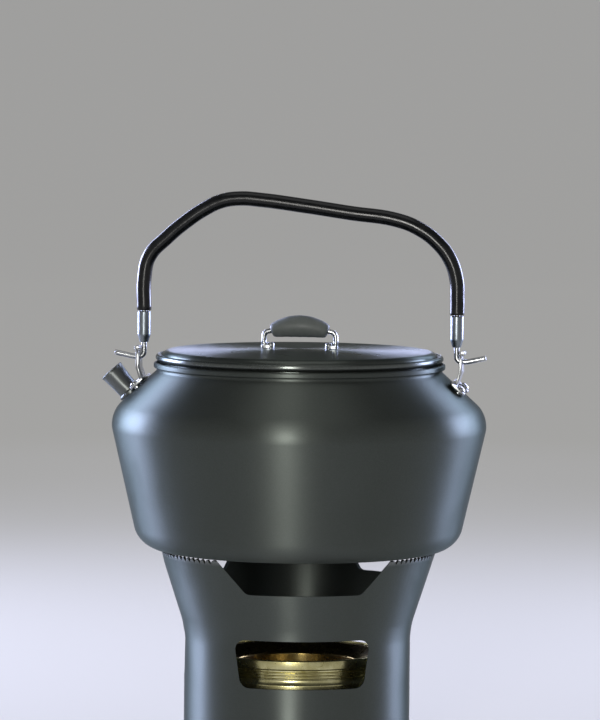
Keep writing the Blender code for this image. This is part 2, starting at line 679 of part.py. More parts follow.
def ear(name, turn):
    """Stamped ear for the leg at +X; the other side is the same ear, turned by half a turn."""
    foot = shoulder_point(EAR_FOOT_RADIUS, GAP + EAR_SHEET / 2)
    sheet = [Vector((EAR_RADIUS, PIVOT_HEIGHT + EAR_TOP)),
             Vector((EAR_RADIUS, PIVOT_HEIGHT - EAR_JOGGLE_DROP)),
             Vector((foot.x, foot.z))]
    bm = bmesh.new()
    verts = [bm.verts.new((point.x, -EAR_TAB_WIDTH, point.y)) for point in sheet]
    edges = [bm.edges.new(pair) for pair in zip(verts, verts[1:])]
    swept = bmesh.ops.extrude_edge_only(bm, edges=edges)
    moved = [item for item in swept["geom"] if isinstance(item, bmesh.types.BMVert)]
    bmesh.ops.translate(bm, verts=moved, vec=(0, 2 * EAR_TAB_WIDTH, 0))
    mesh = bpy.data.meshes.new(name)
    bm.to_mesh(mesh)
    bm.free()
    part = add_part(name, mesh, STEEL, KETTLE)
    thicken = part.modifiers.new("sheet", "SOLIDIFY")
    thicken.thickness = EAR_SHEET
    thicken.offset = 0
    thicken.use_even_offset = True

    half = EAR_TAB_WIDTH / 2
    top = PIVOT_HEIGHT + EAR_TOP + EAR_CURL_RADIUS
    low = foot.z - EAR_SHEET
    tab = rounded([(-half * 1.25, low), (half * 1.25, low),
                   (half, PIVOT_HEIGHT, EAR_TAB_FILLET), (half, top, half * 0.8),
                   (-half, top, half * 0.8), (-half, PIVOT_HEIGHT, EAR_TAB_FILLET)], closed=True)
    trim = plate_mesh(name + "_trim", tab, 13 * EAR_SHEET)
    facing = Matrix.Rotation(math.radians(90), 4, "Z") @ Matrix.Rotation(math.radians(90), 4, "X")
    trim.transform(Matrix.Translation((EAR_RADIUS, 0, 0)) @ facing)
    add_boolean(part, add_cutter(name + "_trim", trim, part), "INTERSECT")

    outer = EAR_SHEET * 0.4
    end = EAR_FLANGE_LENGTH / 2
    corner = EAR_FLANGE_FILLET / 2
    flange = rounded([(-EAR_FLANGE_INNER, -end, corner), (EAR_FLANGE_OUTER, -end, EAR_FLANGE_FILLET),
                      (EAR_FLANGE_OUTER, -EAR_NOTCH_HALF, corner), (outer, -EAR_NOTCH_HALF, corner),
                      (outer, EAR_NOTCH_HALF, corner), (EAR_FLANGE_OUTER, EAR_NOTCH_HALF, corner),
                      (EAR_FLANGE_OUTER, end, EAR_FLANGE_FILLET), (-EAR_FLANGE_INNER, end, corner)],
                     steps=3, closed=True)
    flat = plate_mesh(name + "_flange", flange, EAR_SHEET)
    lay = Matrix.Translation(foot) @ Matrix.Rotation(SHOULDER_SLOPE, 4, "Y")
    flat.transform(lay)
    add_boolean(part, add_cutter(name + "_flange", flat, part), "UNION")

    curl_x = EAR_RADIUS + EAR_SHEET / 2
    curl_z = PIVOT_HEIGHT + EAR_TOP
    curl = rod_mesh(name + "_curl", EAR_CURL_RADIUS, (curl_x, -EAR_CURL_LENGTH / 2, curl_z),
                    (curl_x, EAR_CURL_LENGTH / 2, curl_z), sides=12)
    add_boolean(part, add_cutter(name + "_curl", curl, part), "UNION")

    hole = rod_mesh(name + "_hole", BAIL_WIRE_RADIUS + EAR_HOLE_PLAY,
                    (EAR_RADIUS - 3 * EAR_SHEET, 0, PIVOT_HEIGHT),
                    (EAR_RADIUS + 3 * EAR_SHEET, 0, PIVOT_HEIGHT), HOLE_FACETS)
    add_boolean(part, add_cutter(name + "_hole", hole, part))
    add_boolean(part, ear_rivet_holes())
    part.rotation_euler = (0, 0, turn)
    shade_round(part)


def ear_rivets():
    grip = GAP + KETTLE_WALL + GAP + EAR_SHEET + 3 * GAP
    number = 1
    for turn in (math.pi, 0):
        swing = Matrix.Rotation(turn, 3, "Z")
        for place in ear_rivet_places():
            head = place + SHOULDER_NORMAL * (GAP + EAR_SHEET + GAP)
            part = rivet(f"ear_rivet_{number}", swing @ head, swing @ SHOULDER_NORMAL, grip, KETTLE)
            shade_round(part)
            number += 1


# Lid, heights counted from where its ring rests on the kettle's rim

def lid_dome_height(radius):
    """Top of the lid's dome at this radius: nearly flat, then a rounded shoulder down to the valley."""
    top = LID_RING_HEIGHT + LID_DOME_RISE
    shoulder = LID_RING_RADIUS - LID_RING_WIDTH - LID_SHOULDER_WIDTH
    if radius <= shoulder:
        return top - LID_DOME_SAG * (radius / shoulder) ** 2
    low = LID_RING_HEIGHT - LID_VALLEY_DROP
    share = min(1.0, (radius - shoulder) / LID_SHOULDER_WIDTH)
    return low + (top - LID_DOME_SAG - low) * math.sqrt(1 - share ** 2)


def lid_pan():
    shoulder = LID_RING_RADIUS - LID_RING_WIDTH - LID_SHOULDER_WIDTH
    skirt = NECK_RADIUS - KETTLE_WALL - LID_SKIRT_PLAY
    radii = [shoulder * share for share in (0.50, 0.80, 1.0)]
    radii += [shoulder + LID_SHOULDER_WIDTH * share for share in (0.50, 0.85, 1.0)]
    top_side = [(0, lid_dome_height(0))] + [(radius, lid_dome_height(radius)) for radius in radii]
    ring = [(LID_RING_RADIUS - LID_RING_WIDTH * 0.75, LID_RING_HEIGHT * 0.93),
            (LID_RING_RADIUS - LID_RING_WIDTH * 0.40, LID_RING_HEIGHT),
            (LID_RING_RADIUS - LID_RING_WIDTH * 0.08, LID_RING_HEIGHT * 0.78),
            (LID_RING_RADIUS, LID_RING_HEIGHT * 0.45),
            (LID_RING_RADIUS - LID_RING_WIDTH * 0.45, 0),
            (skirt, 0),
            (skirt, -LID_SKIRT_DEPTH),
            (skirt - LID_SHEET, -LID_SKIRT_DEPTH),
            (skirt - LID_SHEET, LID_RING_HEIGHT * 0.2)]
    under = [(radius - LID_SHEET, lid_dome_height(radius) - LID_SHEET) for radius in reversed(radii[:-1])]
    under.append((0, lid_dome_height(0) - LID_SHEET))
    outline = [Vector(point) for point in top_side + ring + under]
    lid = turned("lid_pan", outline, LARGE_FACETS, ALUMINIUM, LID)
    add_boolean(lid, handle_rivet_holes())
    shade_round(lid)


def handle_foot_height():
    """Underside of the handle's feet, just proud of the dome."""
    return lid_dome_height(HANDLE_HALF_SPAN - HANDLE_RIVET_INSET) + GAP


def handle_rivet_places():
    across = HANDLE_HALF_SPAN - HANDLE_RIVET_INSET
    return [Vector((side * across, 0, handle_foot_height())) for side in (-1, 1)]


def handle_rivet_holes():
    if "handle_rivet_holes" not in bpy.data.objects:
        bm = bmesh.new()
        for place in handle_rivet_places():
            reach = Vector((0, 0, 5 * LID_SHEET))
            bm.from_mesh(rod_mesh("handle_rivet_hole", RIVET_SHANK_RADIUS + GAP,
                                  place - reach, place + reach, RIVET_FACETS))
        holes = bpy.data.meshes.new("handle_rivet_holes")
        bm.to_mesh(holes)
        bm.free()
        add_cutter("handle_rivet_holes", holes, LID)
    return bpy.data.objects["handle_rivet_holes"]


def handle_route():
    """Wire of the lid handle, from foot to foot in the XZ plane."""
    foot = handle_foot_height() + HANDLE_FOOT_THICKNESS / 2
    crest = handle_foot_height() + HANDLE_GRIP_HEIGHT
    grip_end = crest - HANDLE_GRIP_ARCH
    half = [Vector((HANDLE_HALF_SPAN * 0.985, 0, foot)),
            Vector((HANDLE_HALF_SPAN, 0, foot + (crest - foot) * 0.35)),
            Vector((HANDLE_HALF_SPAN * 0.955, 0, foot + (crest - foot) * 0.66)),
            Vector((HANDLE_GRIP_HALF_LENGTH + HANDLE_WIRE_RADIUS * 0.75, 0, grip_end)),
            Vector((HANDLE_GRIP_HALF_LENGTH * 0.55, 0, crest - HANDLE_GRIP_ARCH * 0.3))]
    left = [Vector((-point.x, 0, point.z)) for point in half]
    return smooth_route([*left, Vector((0, 0, crest)), *reversed(half)], 2)


def lid_handle_wire():
    curve = tube_curve("lid_handle_wire", handle_route(), HANDLE_WIRE_RADIUS)
    wire = add_part("lid_handle_wire", as_mesh(curve, "lid_handle_wire"), STEEL, LID)
    outer = -HANDLE_HALF_SPAN - HANDLE_WIRE_RADIUS
    inner = -HANDLE_HALF_SPAN + HANDLE_RIVET_INSET + HANDLE_RIVET_HEAD
    side = HANDLE_FOOT_WIDTH / 2
    tongue = rounded([(outer, -side, side * 0.5), (inner, -side, side * 0.9),
                      (inner, side, side * 0.9), (outer, side, side * 0.5)], steps=3, closed=True)
    for turn in (0, math.pi):
        foot = plate_mesh(f"handle_foot_{turn:.0f}", tongue, HANDLE_FOOT_THICKNESS)
        lift = handle_foot_height() + HANDLE_FOOT_THICKNESS / 2
        foot.transform(Matrix.Rotation(turn, 4, "Z") @ Matrix.Translation((0, 0, lift)))
        add_boolean(wire, add_cutter(foot.name, foot, LID), "UNION")
    add_boolean(wire, handle_rivet_holes())
    shade_round(wire)


def lid_handle_grip():
    """Fat grip, arched with the wire and thicker in the middle."""
    crest = handle_foot_height() + HANDLE_GRIP_HEIGHT
    shares = (-1, -0.97, -0.9, -0.7, -0.35, 0, 0.35, 0.7, 0.9, 0.97, 1)
    route = [Vector((share * HANDLE_GRIP_HALF_LENGTH, 0, crest - HANDLE_GRIP_ARCH * share ** 2))
             for share in shares]
    end = HANDLE_GRIP_END_RADIUS / HANDLE_GRIP_RADIUS
    swell = [end + (1 - end) * (1 - share ** 2) for share in shares]
    for index, factor in ((0, 0.72), (1, 0.88)):
        swell[index] *= factor
        swell[-1 - index] *= factor
    curve = tube_curve("lid_handle_grip", route, HANDLE_GRIP_RADIUS, swell, resolution=3)
    part = add_part("lid_handle_grip", as_mesh(curve, "lid_handle_grip"), BLACK_RUBBER, LID)
    bore = as_mesh(tube_curve("grip_bore", handle_route(), HANDLE_WIRE_RADIUS + GAP), "grip_bore")
    add_boolean(part, add_cutter("grip_bore", bore, LID))
    shade_round(part)


def lid_handle_rivets():
    grip = GAP + HANDLE_FOOT_THICKNESS + GAP + LID_SHEET + 2 * GAP
    for index, place in enumerate(handle_rivet_places()):
        head = place + Vector((0, 0, HANDLE_FOOT_THICKNESS + GAP))
        part = rivet(f"lid_rivet_{index + 1}", head, (0, 0, 1), grip, LID, HANDLE_RIVET_HEAD)
        shade_round(part)


# Bail, heights counted from its pivot

def bail_arch():
    """Stations as shares of the half span and of the rise. The crest is nearer the spout."""
    shares = [(-1, 0.50), (-0.970, 0.628), (-0.850, 0.755), (-0.743, 0.845), (-0.620, 0.929),
              (-0.508, 0.982), (-0.388, 1.0), (-0.260, 0.993), (0.0, 0.962), (0.31, 0.919),
              (0.629, 0.874), (0.761, 0.821), (0.867, 0.744), (0.952, 0.637), (0.994, 0.513),
              (1, 0.40)]
    return [Vector((across * BAIL_HALF_SPAN, 0, rise * BAIL_RISE)) for across, rise in shares]


def grip_start():
    return FERRULE_START + FERRULE_LENGTH + GAP


def grip_route():
    low = grip_start()
    left = Vector((-BAIL_HALF_SPAN, 0, low))
    right = Vector((BAIL_HALF_SPAN, 0, low))
    return smooth_route([left, *bail_arch(), right], 2)


def bail_foot(side):
    """Wire from its upturned tip, in through the ear and up the leg."""
    corners = [(side * BAIL_TIP_REACH, BAIL_TIP_LIFT),
               (side * (EAR_RADIUS + 2 * EAR_SHEET), 0, 3 * BAIL_BEND),
               (side * BAIL_HALF_SPAN, 0, BAIL_BEND),
               (side * BAIL_HALF_SPAN, FERRULE_START)]
    return [Vector((point.x, 0, point.y)) for point in rounded(corners, steps=3)]


def bail_wire():
    route = [*bail_foot(-1), *grip_route(), *reversed(bail_foot(1))]
    curve = tube_curve("bail_wire", route, BAIL_WIRE_RADIUS)
    wire = add_part("bail_wire", as_mesh(curve, "bail_wire"), STEEL, BAIL)
    shade_round(wire)


def bail_grip():
    """Tube over the arch: a bare curve surface with a wall of its own."""
    curve = tube_curve("bail_grip", grip_route(), BAIL_GRIP_RADIUS, capped=False)
    grip = add_part("bail_grip", as_mesh(curve, "bail_grip"), BLACK_RUBBER, BAIL)
    add_wall(grip, BAIL_GRIP_RADIUS - BAIL_WIRE_RADIUS - GAP)
    shade_round(grip)


def bail_ferrule(name, side):
    bore = BAIL_WIRE_RADIUS + GAP
    top = FERRULE_START + FERRULE_LENGTH
    outline = rounded([(FERRULE_RADIUS - GAP, top),
                       (FERRULE_RADIUS, top - GAP),
                       (FERRULE_RADIUS, FERRULE_START + FERRULE_TAPER, FERRULE_TAPER),
                       (FERRULE_FOOT_RADIUS, FERRULE_START),
                       (bore, FERRULE_START),
                       (bore, top)], steps=3, closed=True)
    ferrule = turned(name, outline, SMALL_FACETS, STEEL, BAIL, closed=True)
    ferrule.location = (side * BAIL_HALF_SPAN, 0, 0)
    shade_round(ferrule)


clear_scene()
PARTS = new_collection("spirit_stove_and_kettle")
CUTTERS = new_collection("cutters", hidden=True)

STAND = new_frame("stand_frame", 0)
BURNER = new_frame("burner_frame", BURNER_BASE, STAND)
KETTLE = new_frame("kettle_frame", KETTLE_BASE, STAND)
LID = new_frame("lid_frame", RIM_HEIGHT + GAP, KETTLE)
BAIL = new_frame("bail_pivot", PIVOT_HEIGHT, KETTLE)

windshield_shell()
base_pan()
base_rivets()
burner_cup()
burner_insert()
wick_ring()
kettle_body()
spout_tube()
ear("ear_spout_side", math.pi)
ear("ear_back_side", 0)
ear_rivets()
lid_pan()
lid_handle_wire()
lid_handle_grip()
lid_handle_rivets()
bail_wire()
bail_grip()
bail_ferrule("bail_ferrule_spout_side", -1)
bail_ferrule("bail_ferrule_back_side", 1)
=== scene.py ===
import math

import bmesh
import bpy
from mathutils import Matrix, Vector


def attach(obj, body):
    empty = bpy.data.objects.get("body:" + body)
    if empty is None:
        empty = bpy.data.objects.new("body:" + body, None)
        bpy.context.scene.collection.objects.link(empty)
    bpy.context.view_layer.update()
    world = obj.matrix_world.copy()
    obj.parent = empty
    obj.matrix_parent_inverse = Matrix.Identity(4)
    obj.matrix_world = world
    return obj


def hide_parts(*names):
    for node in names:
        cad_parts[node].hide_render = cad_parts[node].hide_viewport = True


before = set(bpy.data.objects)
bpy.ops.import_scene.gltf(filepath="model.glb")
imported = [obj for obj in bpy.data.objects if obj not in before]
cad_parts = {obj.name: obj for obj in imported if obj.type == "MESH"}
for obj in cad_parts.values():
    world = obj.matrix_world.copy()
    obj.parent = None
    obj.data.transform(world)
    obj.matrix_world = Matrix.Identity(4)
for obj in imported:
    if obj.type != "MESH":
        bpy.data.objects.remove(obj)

# Sizes in the dictionaries are in mm, and turns in degrees
mm = 0.001
fullTurn = 2 * math.pi
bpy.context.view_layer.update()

look = {
    "azimuth": 7.0,         # round from straight ahead, towards +X
    "distance": 2000,       # from the aim point to the lens
    "aim": (0.15, 0.0, 165.6),
    "elevation": 4.1,
    "lens": 244.6,
    "roll": 0.5,            # the picture leans this much clockwise
}

studio = {
    "paper": "97948a",      # a little warm, because the side lamps are cool
    "glow": 0.31,           # pale level that the eye, and metal that mirrors it, sees in the paper
    "radius": 5000,         # from the object to the paper's wall, all round
    "wallHeight": 3600,
    "sweep": 1600,
    "fillLevel": 0.14,
}


def toLinear(code):
    # sRGB hex to the linear values that the shader reads
    parts = [int(code[place:place + 2], 16) / 255 for place in (0, 2, 4)]
    return (*[part / 12.92 if part <= 0.04045 else ((part + 0.055) / 1.055) ** 2.4 for part in parts], 1)


def newMaterial(name, values):
    material = bpy.data.materials.new(name)
    material.use_nodes = True
    shader = material.node_tree.nodes["Principled BSDF"]
    for socket, value in values.items():
        shader.inputs[socket].default_value = value
    return material, shader


def addNode(material, kind, inputs=None, **settings):
    node = material.node_tree.nodes.new(kind)
    for name, value in settings.items():
        setattr(node, name, value)
    for name, value in (inputs or {}).items():
        if isinstance(value, bpy.types.NodeSocket):
            material.node_tree.links.new(value, node.inputs[name])
        else:
            node.inputs[name].default_value = value
    return node


def perMm(size):
    # texture scale for a pattern whose features are this many mm wide
    return 1 / (size * mm)


def outline(points, closed=False, arc=8):
    # wire in the XZ plane; a third number rounds that corner to that radius
    bm = bmesh.new()
    verts = [bm.verts.new((point[0] * mm, 0, point[1] * mm)) for point in points]
    for start, end in zip(verts, verts[1:]):
        bm.edges.new((start, end))
    if closed:
        bm.edges.new((verts[-1], verts[0]))
    for vert, point in zip(verts, points):
        if len(point) > 2:
            ways = [edge.other_vert(vert).co - vert.co for edge in vert.link_edges]
            reach = point[2] * mm / math.tan(ways[0].angle(ways[1]) / 2)
            bmesh.ops.bevel(bm, geom=[vert], offset=reach, offset_type="OFFSET", segments=arc,
                            profile=0.5, affect="VERTICES", material=-1)
    return bm


def tidyUp(bm):
    bmesh.ops.remove_doubles(bm, verts=bm.verts, dist=0.002 * mm)
    bmesh.ops.recalc_face_normals(bm, faces=bm.faces)


def spun(points, closed=False, steps=192, arc=8):
    bm = outline(points, closed, arc)
    bmesh.ops.spin(bm, geom=bm.verts[:] + bm.edges[:], cent=(0, 0, 0), axis=(0, 0, 1),
                   angle=fullTurn, steps=steps, use_merge=True)
    tidyUp(bm)
    return bm


def slab(points, thick, arc=8):
    # flat plate in the XZ plane, centred on Y
    bm = outline(points, True, arc)
    bmesh.ops.contextual_create(bm, geom=bm.edges[:])
    grown = bmesh.ops.extrude_face_region(bm, geom=bm.faces[:])
    moved = [item for item in grown["geom"] if isinstance(item, bmesh.types.BMVert)]
    bmesh.ops.translate(bm, verts=moved, vec=(0, thick * mm, 0))
    bmesh.ops.translate(bm, verts=bm.verts, vec=(0, -thick * mm / 2, 0))
    tidyUp(bm)
    return bm


def rod(radius, start, end, sides=32):
    bm = bmesh.new()
    run = (Vector(end) - Vector(start)) * mm
    middle = (Vector(end) + Vector(start)) * mm / 2
    aim = Matrix.Translation(middle) @ run.to_track_quat("Z", "Y").to_matrix().to_4x4()
    bmesh.ops.create_cone(bm, cap_ends=True, segments=sides, radius1=radius * mm, radius2=radius * mm,
                          depth=run.length, matrix=aim)
    return bm


def wallDrill(radius, wallRadius, height):
    # drill that goes through a round wall from inside to outside, at the -Y side
    return rod(radius, (0, -wallRadius + 6, height), (0, -wallRadius - 3, height))


def turned(bm, matrix):
    bmesh.ops.transform(bm, matrix=matrix, verts=bm.verts)
    return bm


def copiesRound(bm, turns):
    # the same shape again at each turn about Z
    mesh = bpy.data.meshes.new("shape")
    bm.to_mesh(mesh)
    bm.free()
    ring = bmesh.new()
    for turn in turns:
        before = len(ring.verts)
        ring.from_mesh(mesh)
        ring.verts.ensure_lookup_table()
        bmesh.ops.rotate(ring, verts=ring.verts[before:], cent=(0, 0, 0),
                         matrix=Matrix.Rotation(turn, 3, "Z"))
    bpy.data.meshes.remove(mesh)
    return ring


def evenTurns(count, start=0.0):
    return [start + fullTurn * index / count for index in range(count)]


def join(first, *others):
    for other in others:
        mesh = bpy.data.meshes.new("part")
        other.to_mesh(mesh)
        other.free()
        first.from_mesh(mesh)
        bpy.data.meshes.remove(mesh)
    return first


def asObject(name, bm):
    mesh = bpy.data.meshes.new(name)
    bm.to_mesh(mesh)
    bm.free()
    piece = bpy.data.objects.new(name, mesh)
    bpy.context.scene.collection.objects.link(piece)
    return piece


def bake(piece):
    # the modifiers' result becomes the piece's own mesh
    graph = bpy.context.evaluated_depsgraph_get()
    mesh = bpy.data.meshes.new_from_object(piece.evaluated_get(graph))
    piece.modifiers.clear()
    piece.data = mesh


def carve(piece, *cutters, way="DIFFERENCE"):
    helpers = [asObject("cutter", cutter) for cutter in cutters]
    for helper in helpers:
        boolean = piece.modifiers.new("carve", "BOOLEAN")
        boolean.operation = way
        boolean.object = helper
        boolean.solver = "EXACT"
    bake(piece)
    for helper in helpers:
        bpy.data.objects.remove(helper)


def addWall(piece, thick):
    # sheet thickness, inwards from the outer face
    wall = piece.modifiers.new("wall", "SOLIDIFY")
    wall.thickness = thick * mm
    wall.offset = -1
    wall.use_even_offset = True
    bake(piece)


def softEdges(piece, width, angle, segments=2):
    # a small bevel on every edge that is sharper than the angle
    bevel = piece.modifiers.new("soft edges", "BEVEL")
    bevel.width = width * mm
    bevel.segments = segments
    bevel.limit_method = "ANGLE"
    bevel.angle_limit = math.radians(angle)
    bevel.use_clamp_overlap = False
    bake(piece)


def tube(name, stations, radius, radii=None, caps=True, roundness=6):
    # smooth tube through the stations; radii are shares of the radius
    curve = bpy.data.curves.new(name, "CURVE")
    curve.dimensions = "3D"
    curve.bevel_depth = radius * mm
    curve.bevel_resolution = roundness
    curve.use_fill_caps = caps
    curve.resolution_u = 8
    spline = curve.splines.new("BEZIER")
    spline.bezier_points.add(len(stations) - 1)
    for index, (point, station) in enumerate(zip(spline.bezier_points, stations)):
        point.co = Vector(station) * mm
        point.handle_left_type = "AUTO"
        point.handle_right_type = "AUTO"
        point.radius = radii[index] if radii else 1
    holder = bpy.data.objects.new(name, curve)
    bpy.context.scene.collection.objects.link(holder)
    graph = bpy.context.evaluated_depsgraph_get()
    bm = bmesh.new()
    bm.from_mesh(bpy.data.meshes.new_from_object(holder.evaluated_get(graph)))
    bpy.data.objects.remove(holder)
    tidyUp(bm)
    return bm


def dress(piece, material, body, slot, *stoodFor, angle=32):
    # finish, shading and place in the frame of a piece that stands in for the named nodes
    piece.data.materials.clear()
    piece.data.materials.append(material)
    piece.data.shade_smooth()
    piece.data.set_sharp_from_angle(angle=math.radians(angle))
    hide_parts(*stoodFor)
    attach(piece, body)


def carryOver(node, material):
    # a node that is shown as it is
    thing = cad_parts[node]
    thing.data.materials.clear()
    thing.data.materials.append(material)


print("materials")


def hardAnodised(name, shade, worn, wear, roughness=0.40):
    # hard-anodised aluminium, spun then blasted: a dark, slightly green oxide skin with a soft metal
    # gleam, faint rings from the spinning, cloudy patches, and bare metal showing on rubbed edges
    material, shader = newMaterial(name, {"Metallic": 0.92, "Roughness": roughness, "Anisotropic": 0.85,
                                          "Specular Tint": toLinear("9a9f9c"),
                                          "Anisotropic Rotation": 0.25})
    place = addNode(material, "ShaderNodeTexCoord").outputs["Object"]
    apart = addNode(material, "ShaderNodeSeparateXYZ", {"Vector": place})
    flat = addNode(material, "ShaderNodeVectorMath", {0: place, 1: (1, 1, 0)}, operation="MULTIPLY")
    away = addNode(material, "ShaderNodeVectorMath", {0: flat.outputs[0]}, operation="LENGTH")
    rings = addNode(material, "ShaderNodeCombineXYZ", {"X": away.outputs["Value"], "Y": apart.outputs["Z"]})
    # the tool's rings are about 0.3 mm apart and the grit is 0.1 mm: both are drawn coarser, to show
    spinMarks = addNode(material, "ShaderNodeTexNoise", {"Vector": rings.outputs[0], "Scale": perMm(0.9),
                                                         "Detail": 3.0, "Roughness": 0.65},
                        noise_dimensions="2D")
    clouds = addNode(material, "ShaderNodeTexNoise", {"Vector": place, "Scale": perMm(26), "Detail": 4.0,
                                                      "Roughness": 0.55})
    grit = addNode(material, "ShaderNodeTexNoise", {"Vector": place, "Scale": perMm(0.55), "Detail": 1.0})
    tone = addNode(material, "ShaderNodeMix", {0: clouds.outputs["Fac"], 6: toLinear(shade[0]),
                                               7: toLinear(shade[1])}, data_type="RGBA")
    speck = addNode(material, "ShaderNodeMapRange", {"Value": grit.outputs["Fac"], "From Min": 0.35,
                                                     "From Max": 0.72, "To Min": 0.0, "To Max": 0.22})
    toned = addNode(material, "ShaderNodeMix", {0: speck.outputs[0], 6: tone.outputs[2],
                                                7: toLinear(shade[2])}, data_type="RGBA")
    colour = toned.outputs[2]
    for along, low, high in wear:       # more and more from low to high, along the radius or the height
        measure = away.outputs["Value"] if along == "radius" else apart.outputs["Z"]
        near = addNode(material, "ShaderNodeMapRange", {"Value": measure, "From Min": low * mm,
                                                        "From Max": high * mm}, clamp=True)
        rubbed = addNode(material, "ShaderNodeMath", {0: near.outputs[0], 1: grit.outputs["Fac"]},
                         operation="MULTIPLY")
        bare = addNode(material, "ShaderNodeMix", {0: rubbed.outputs[0], 6: colour, 7: toLinear(worn)},
                       data_type="RGBA")
        colour = bare.outputs[2]
    material.node_tree.links.new(colour, shader.inputs["Base Color"])
    dull = addNode(material, "ShaderNodeMapRange", {"Value": clouds.outputs["Fac"], "From Min": 0.3,
                                                    "From Max": 0.7, "To Min": roughness * 0.9,
                                                    "To Max": roughness * 1.15})
    material.node_tree.links.new(dull.outputs[0], shader.inputs["Roughness"])
    marks = addNode(material, "ShaderNodeBump", {"Height": spinMarks.outputs["Fac"], "Strength": 0.10,
                                                 "Distance": 0.06 * mm})
    pits = addNode(material, "ShaderNodeBump", {"Height": grit.outputs["Fac"], "Strength": 0.16,
                                                "Distance": 0.04 * mm, "Normal": marks.outputs[0]})
    material.node_tree.links.new(pits.outputs[0], shader.inputs["Normal"])
    tangent = addNode(material, "ShaderNodeTangent", direction_type="RADIAL", axis="Z")
    material.node_tree.links.new(tangent.outputs[0], shader.inputs["Tangent"])
    return material


def stainedBrass(name, base, stain, stainFrom, stainTo):
    # turned brass that has been hot: yellow metal with lathe rings, brown heat stain and dark spirit marks
    material, shader = newMaterial(name, {"Metallic": 1.0, "Roughness": 0.24})
    place = addNode(material, "ShaderNodeTexCoord").outputs["Object"]
    apart = addNode(material, "ShaderNodeSeparateXYZ", {"Vector": place})
    blots = addNode(material, "ShaderNodeTexNoise", {"Vector": place, "Scale": perMm(9), "Detail": 5.0,
                                                     "Roughness": 0.62, "Distortion": 0.4})
    fine = addNode(material, "ShaderNodeTexNoise", {"Vector": place, "Scale": perMm(0.7), "Detail": 2.0})
    # lathe rings 0.6 mm high and 10 mm long, coarser than the real 0.2 mm, so that they show
    lines = addNode(material, "ShaderNodeMapping", {"Vector": place, "Scale": (1, 1, 10 / 0.6)})
    lathe = addNode(material, "ShaderNodeTexNoise", {"Vector": lines.outputs[0], "Scale": perMm(10),
                                                     "Detail": 2.0})
    hot = addNode(material, "ShaderNodeMapRange", {"Value": apart.outputs["Z"], "From Min": stainFrom * mm,
                                                   "From Max": stainTo * mm, "To Min": 0.25, "To Max": 0.85})
    amount = addNode(material, "ShaderNodeMath", {0: blots.outputs["Fac"], 1: hot.outputs[0]},
                     operation="MULTIPLY")
    spread = addNode(material, "ShaderNodeMapRange", {"Value": amount.outputs[0], "From Min": 0.08,
                                                      "From Max": 0.50})
    colour = addNode(material, "ShaderNodeMix", {0: spread.outputs[0], 6: toLinear(base),
                                                 7: toLinear(stain)}, data_type="RGBA")
    material.node_tree.links.new(colour.outputs[2], shader.inputs["Base Color"])
    dull = addNode(material, "ShaderNodeMapRange", {"Value": blots.outputs["Fac"], "From Min": 0.3,
                                                    "From Max": 0.7, "To Min": 0.18, "To Max": 0.34})
    material.node_tree.links.new(dull.outputs[0], shader.inputs["Roughness"])
    rough = addNode(material, "ShaderNodeBump", {"Height": lathe.outputs["Fac"], "Strength": 0.12,
                                                 "Distance": 0.05 * mm})
    pits = addNode(material, "ShaderNodeBump", {"Height": fine.outputs["Fac"], "Strength": 0.10,
                                                "Distance": 0.04 * mm, "Normal": rough.outputs[0]})
    material.node_tree.links.new(pits.outputs[0], shader.inputs["Normal"])
    return material


def stainless(name, shade, roughness, marks):
    # stainless steel: bright and a little grey, with marks (their size along X, Y and Z) from drawing or
    # stamping
    material, shader = newMaterial(name, {"Metallic": 1.0, "Roughness": roughness})
    place = addNode(material, "ShaderNodeTexCoord").outputs["Object"]
    stretch = addNode(material, "ShaderNodeMapping", {"Vector": place,
                                                      "Scale": [perMm(size) for size in marks]})
    streaks = addNode(material, "ShaderNodeTexNoise", {"Vector": stretch.outputs[0], "Scale": 1.0,
                                                       "Detail": 3.0, "Roughness": 0.6})
    colour = addNode(material, "ShaderNodeMix", {0: streaks.outputs["Fac"], 6: toLinear(shade[0]),
                                                 7: toLinear(shade[1])}, data_type="RGBA")
    material.node_tree.links.new(colour.outputs[2], shader.inputs["Base Color"])
    dull = addNode(material, "ShaderNodeMapRange", {"Value": streaks.outputs["Fac"], "From Min": 0.3,
                                                    "From Max": 0.7, "To Min": roughness * 0.8,
                                                    "To Max": roughness * 1.3})
    material.node_tree.links.new(dull.outputs[0], shader.inputs["Roughness"])
    bump = addNode(material, "ShaderNodeBump", {"Height": streaks.outputs["Fac"], "Strength": 0.10,
                                                "Distance": 0.03 * mm})
    material.node_tree.links.new(bump.outputs[0], shader.inputs["Normal"])
    return material


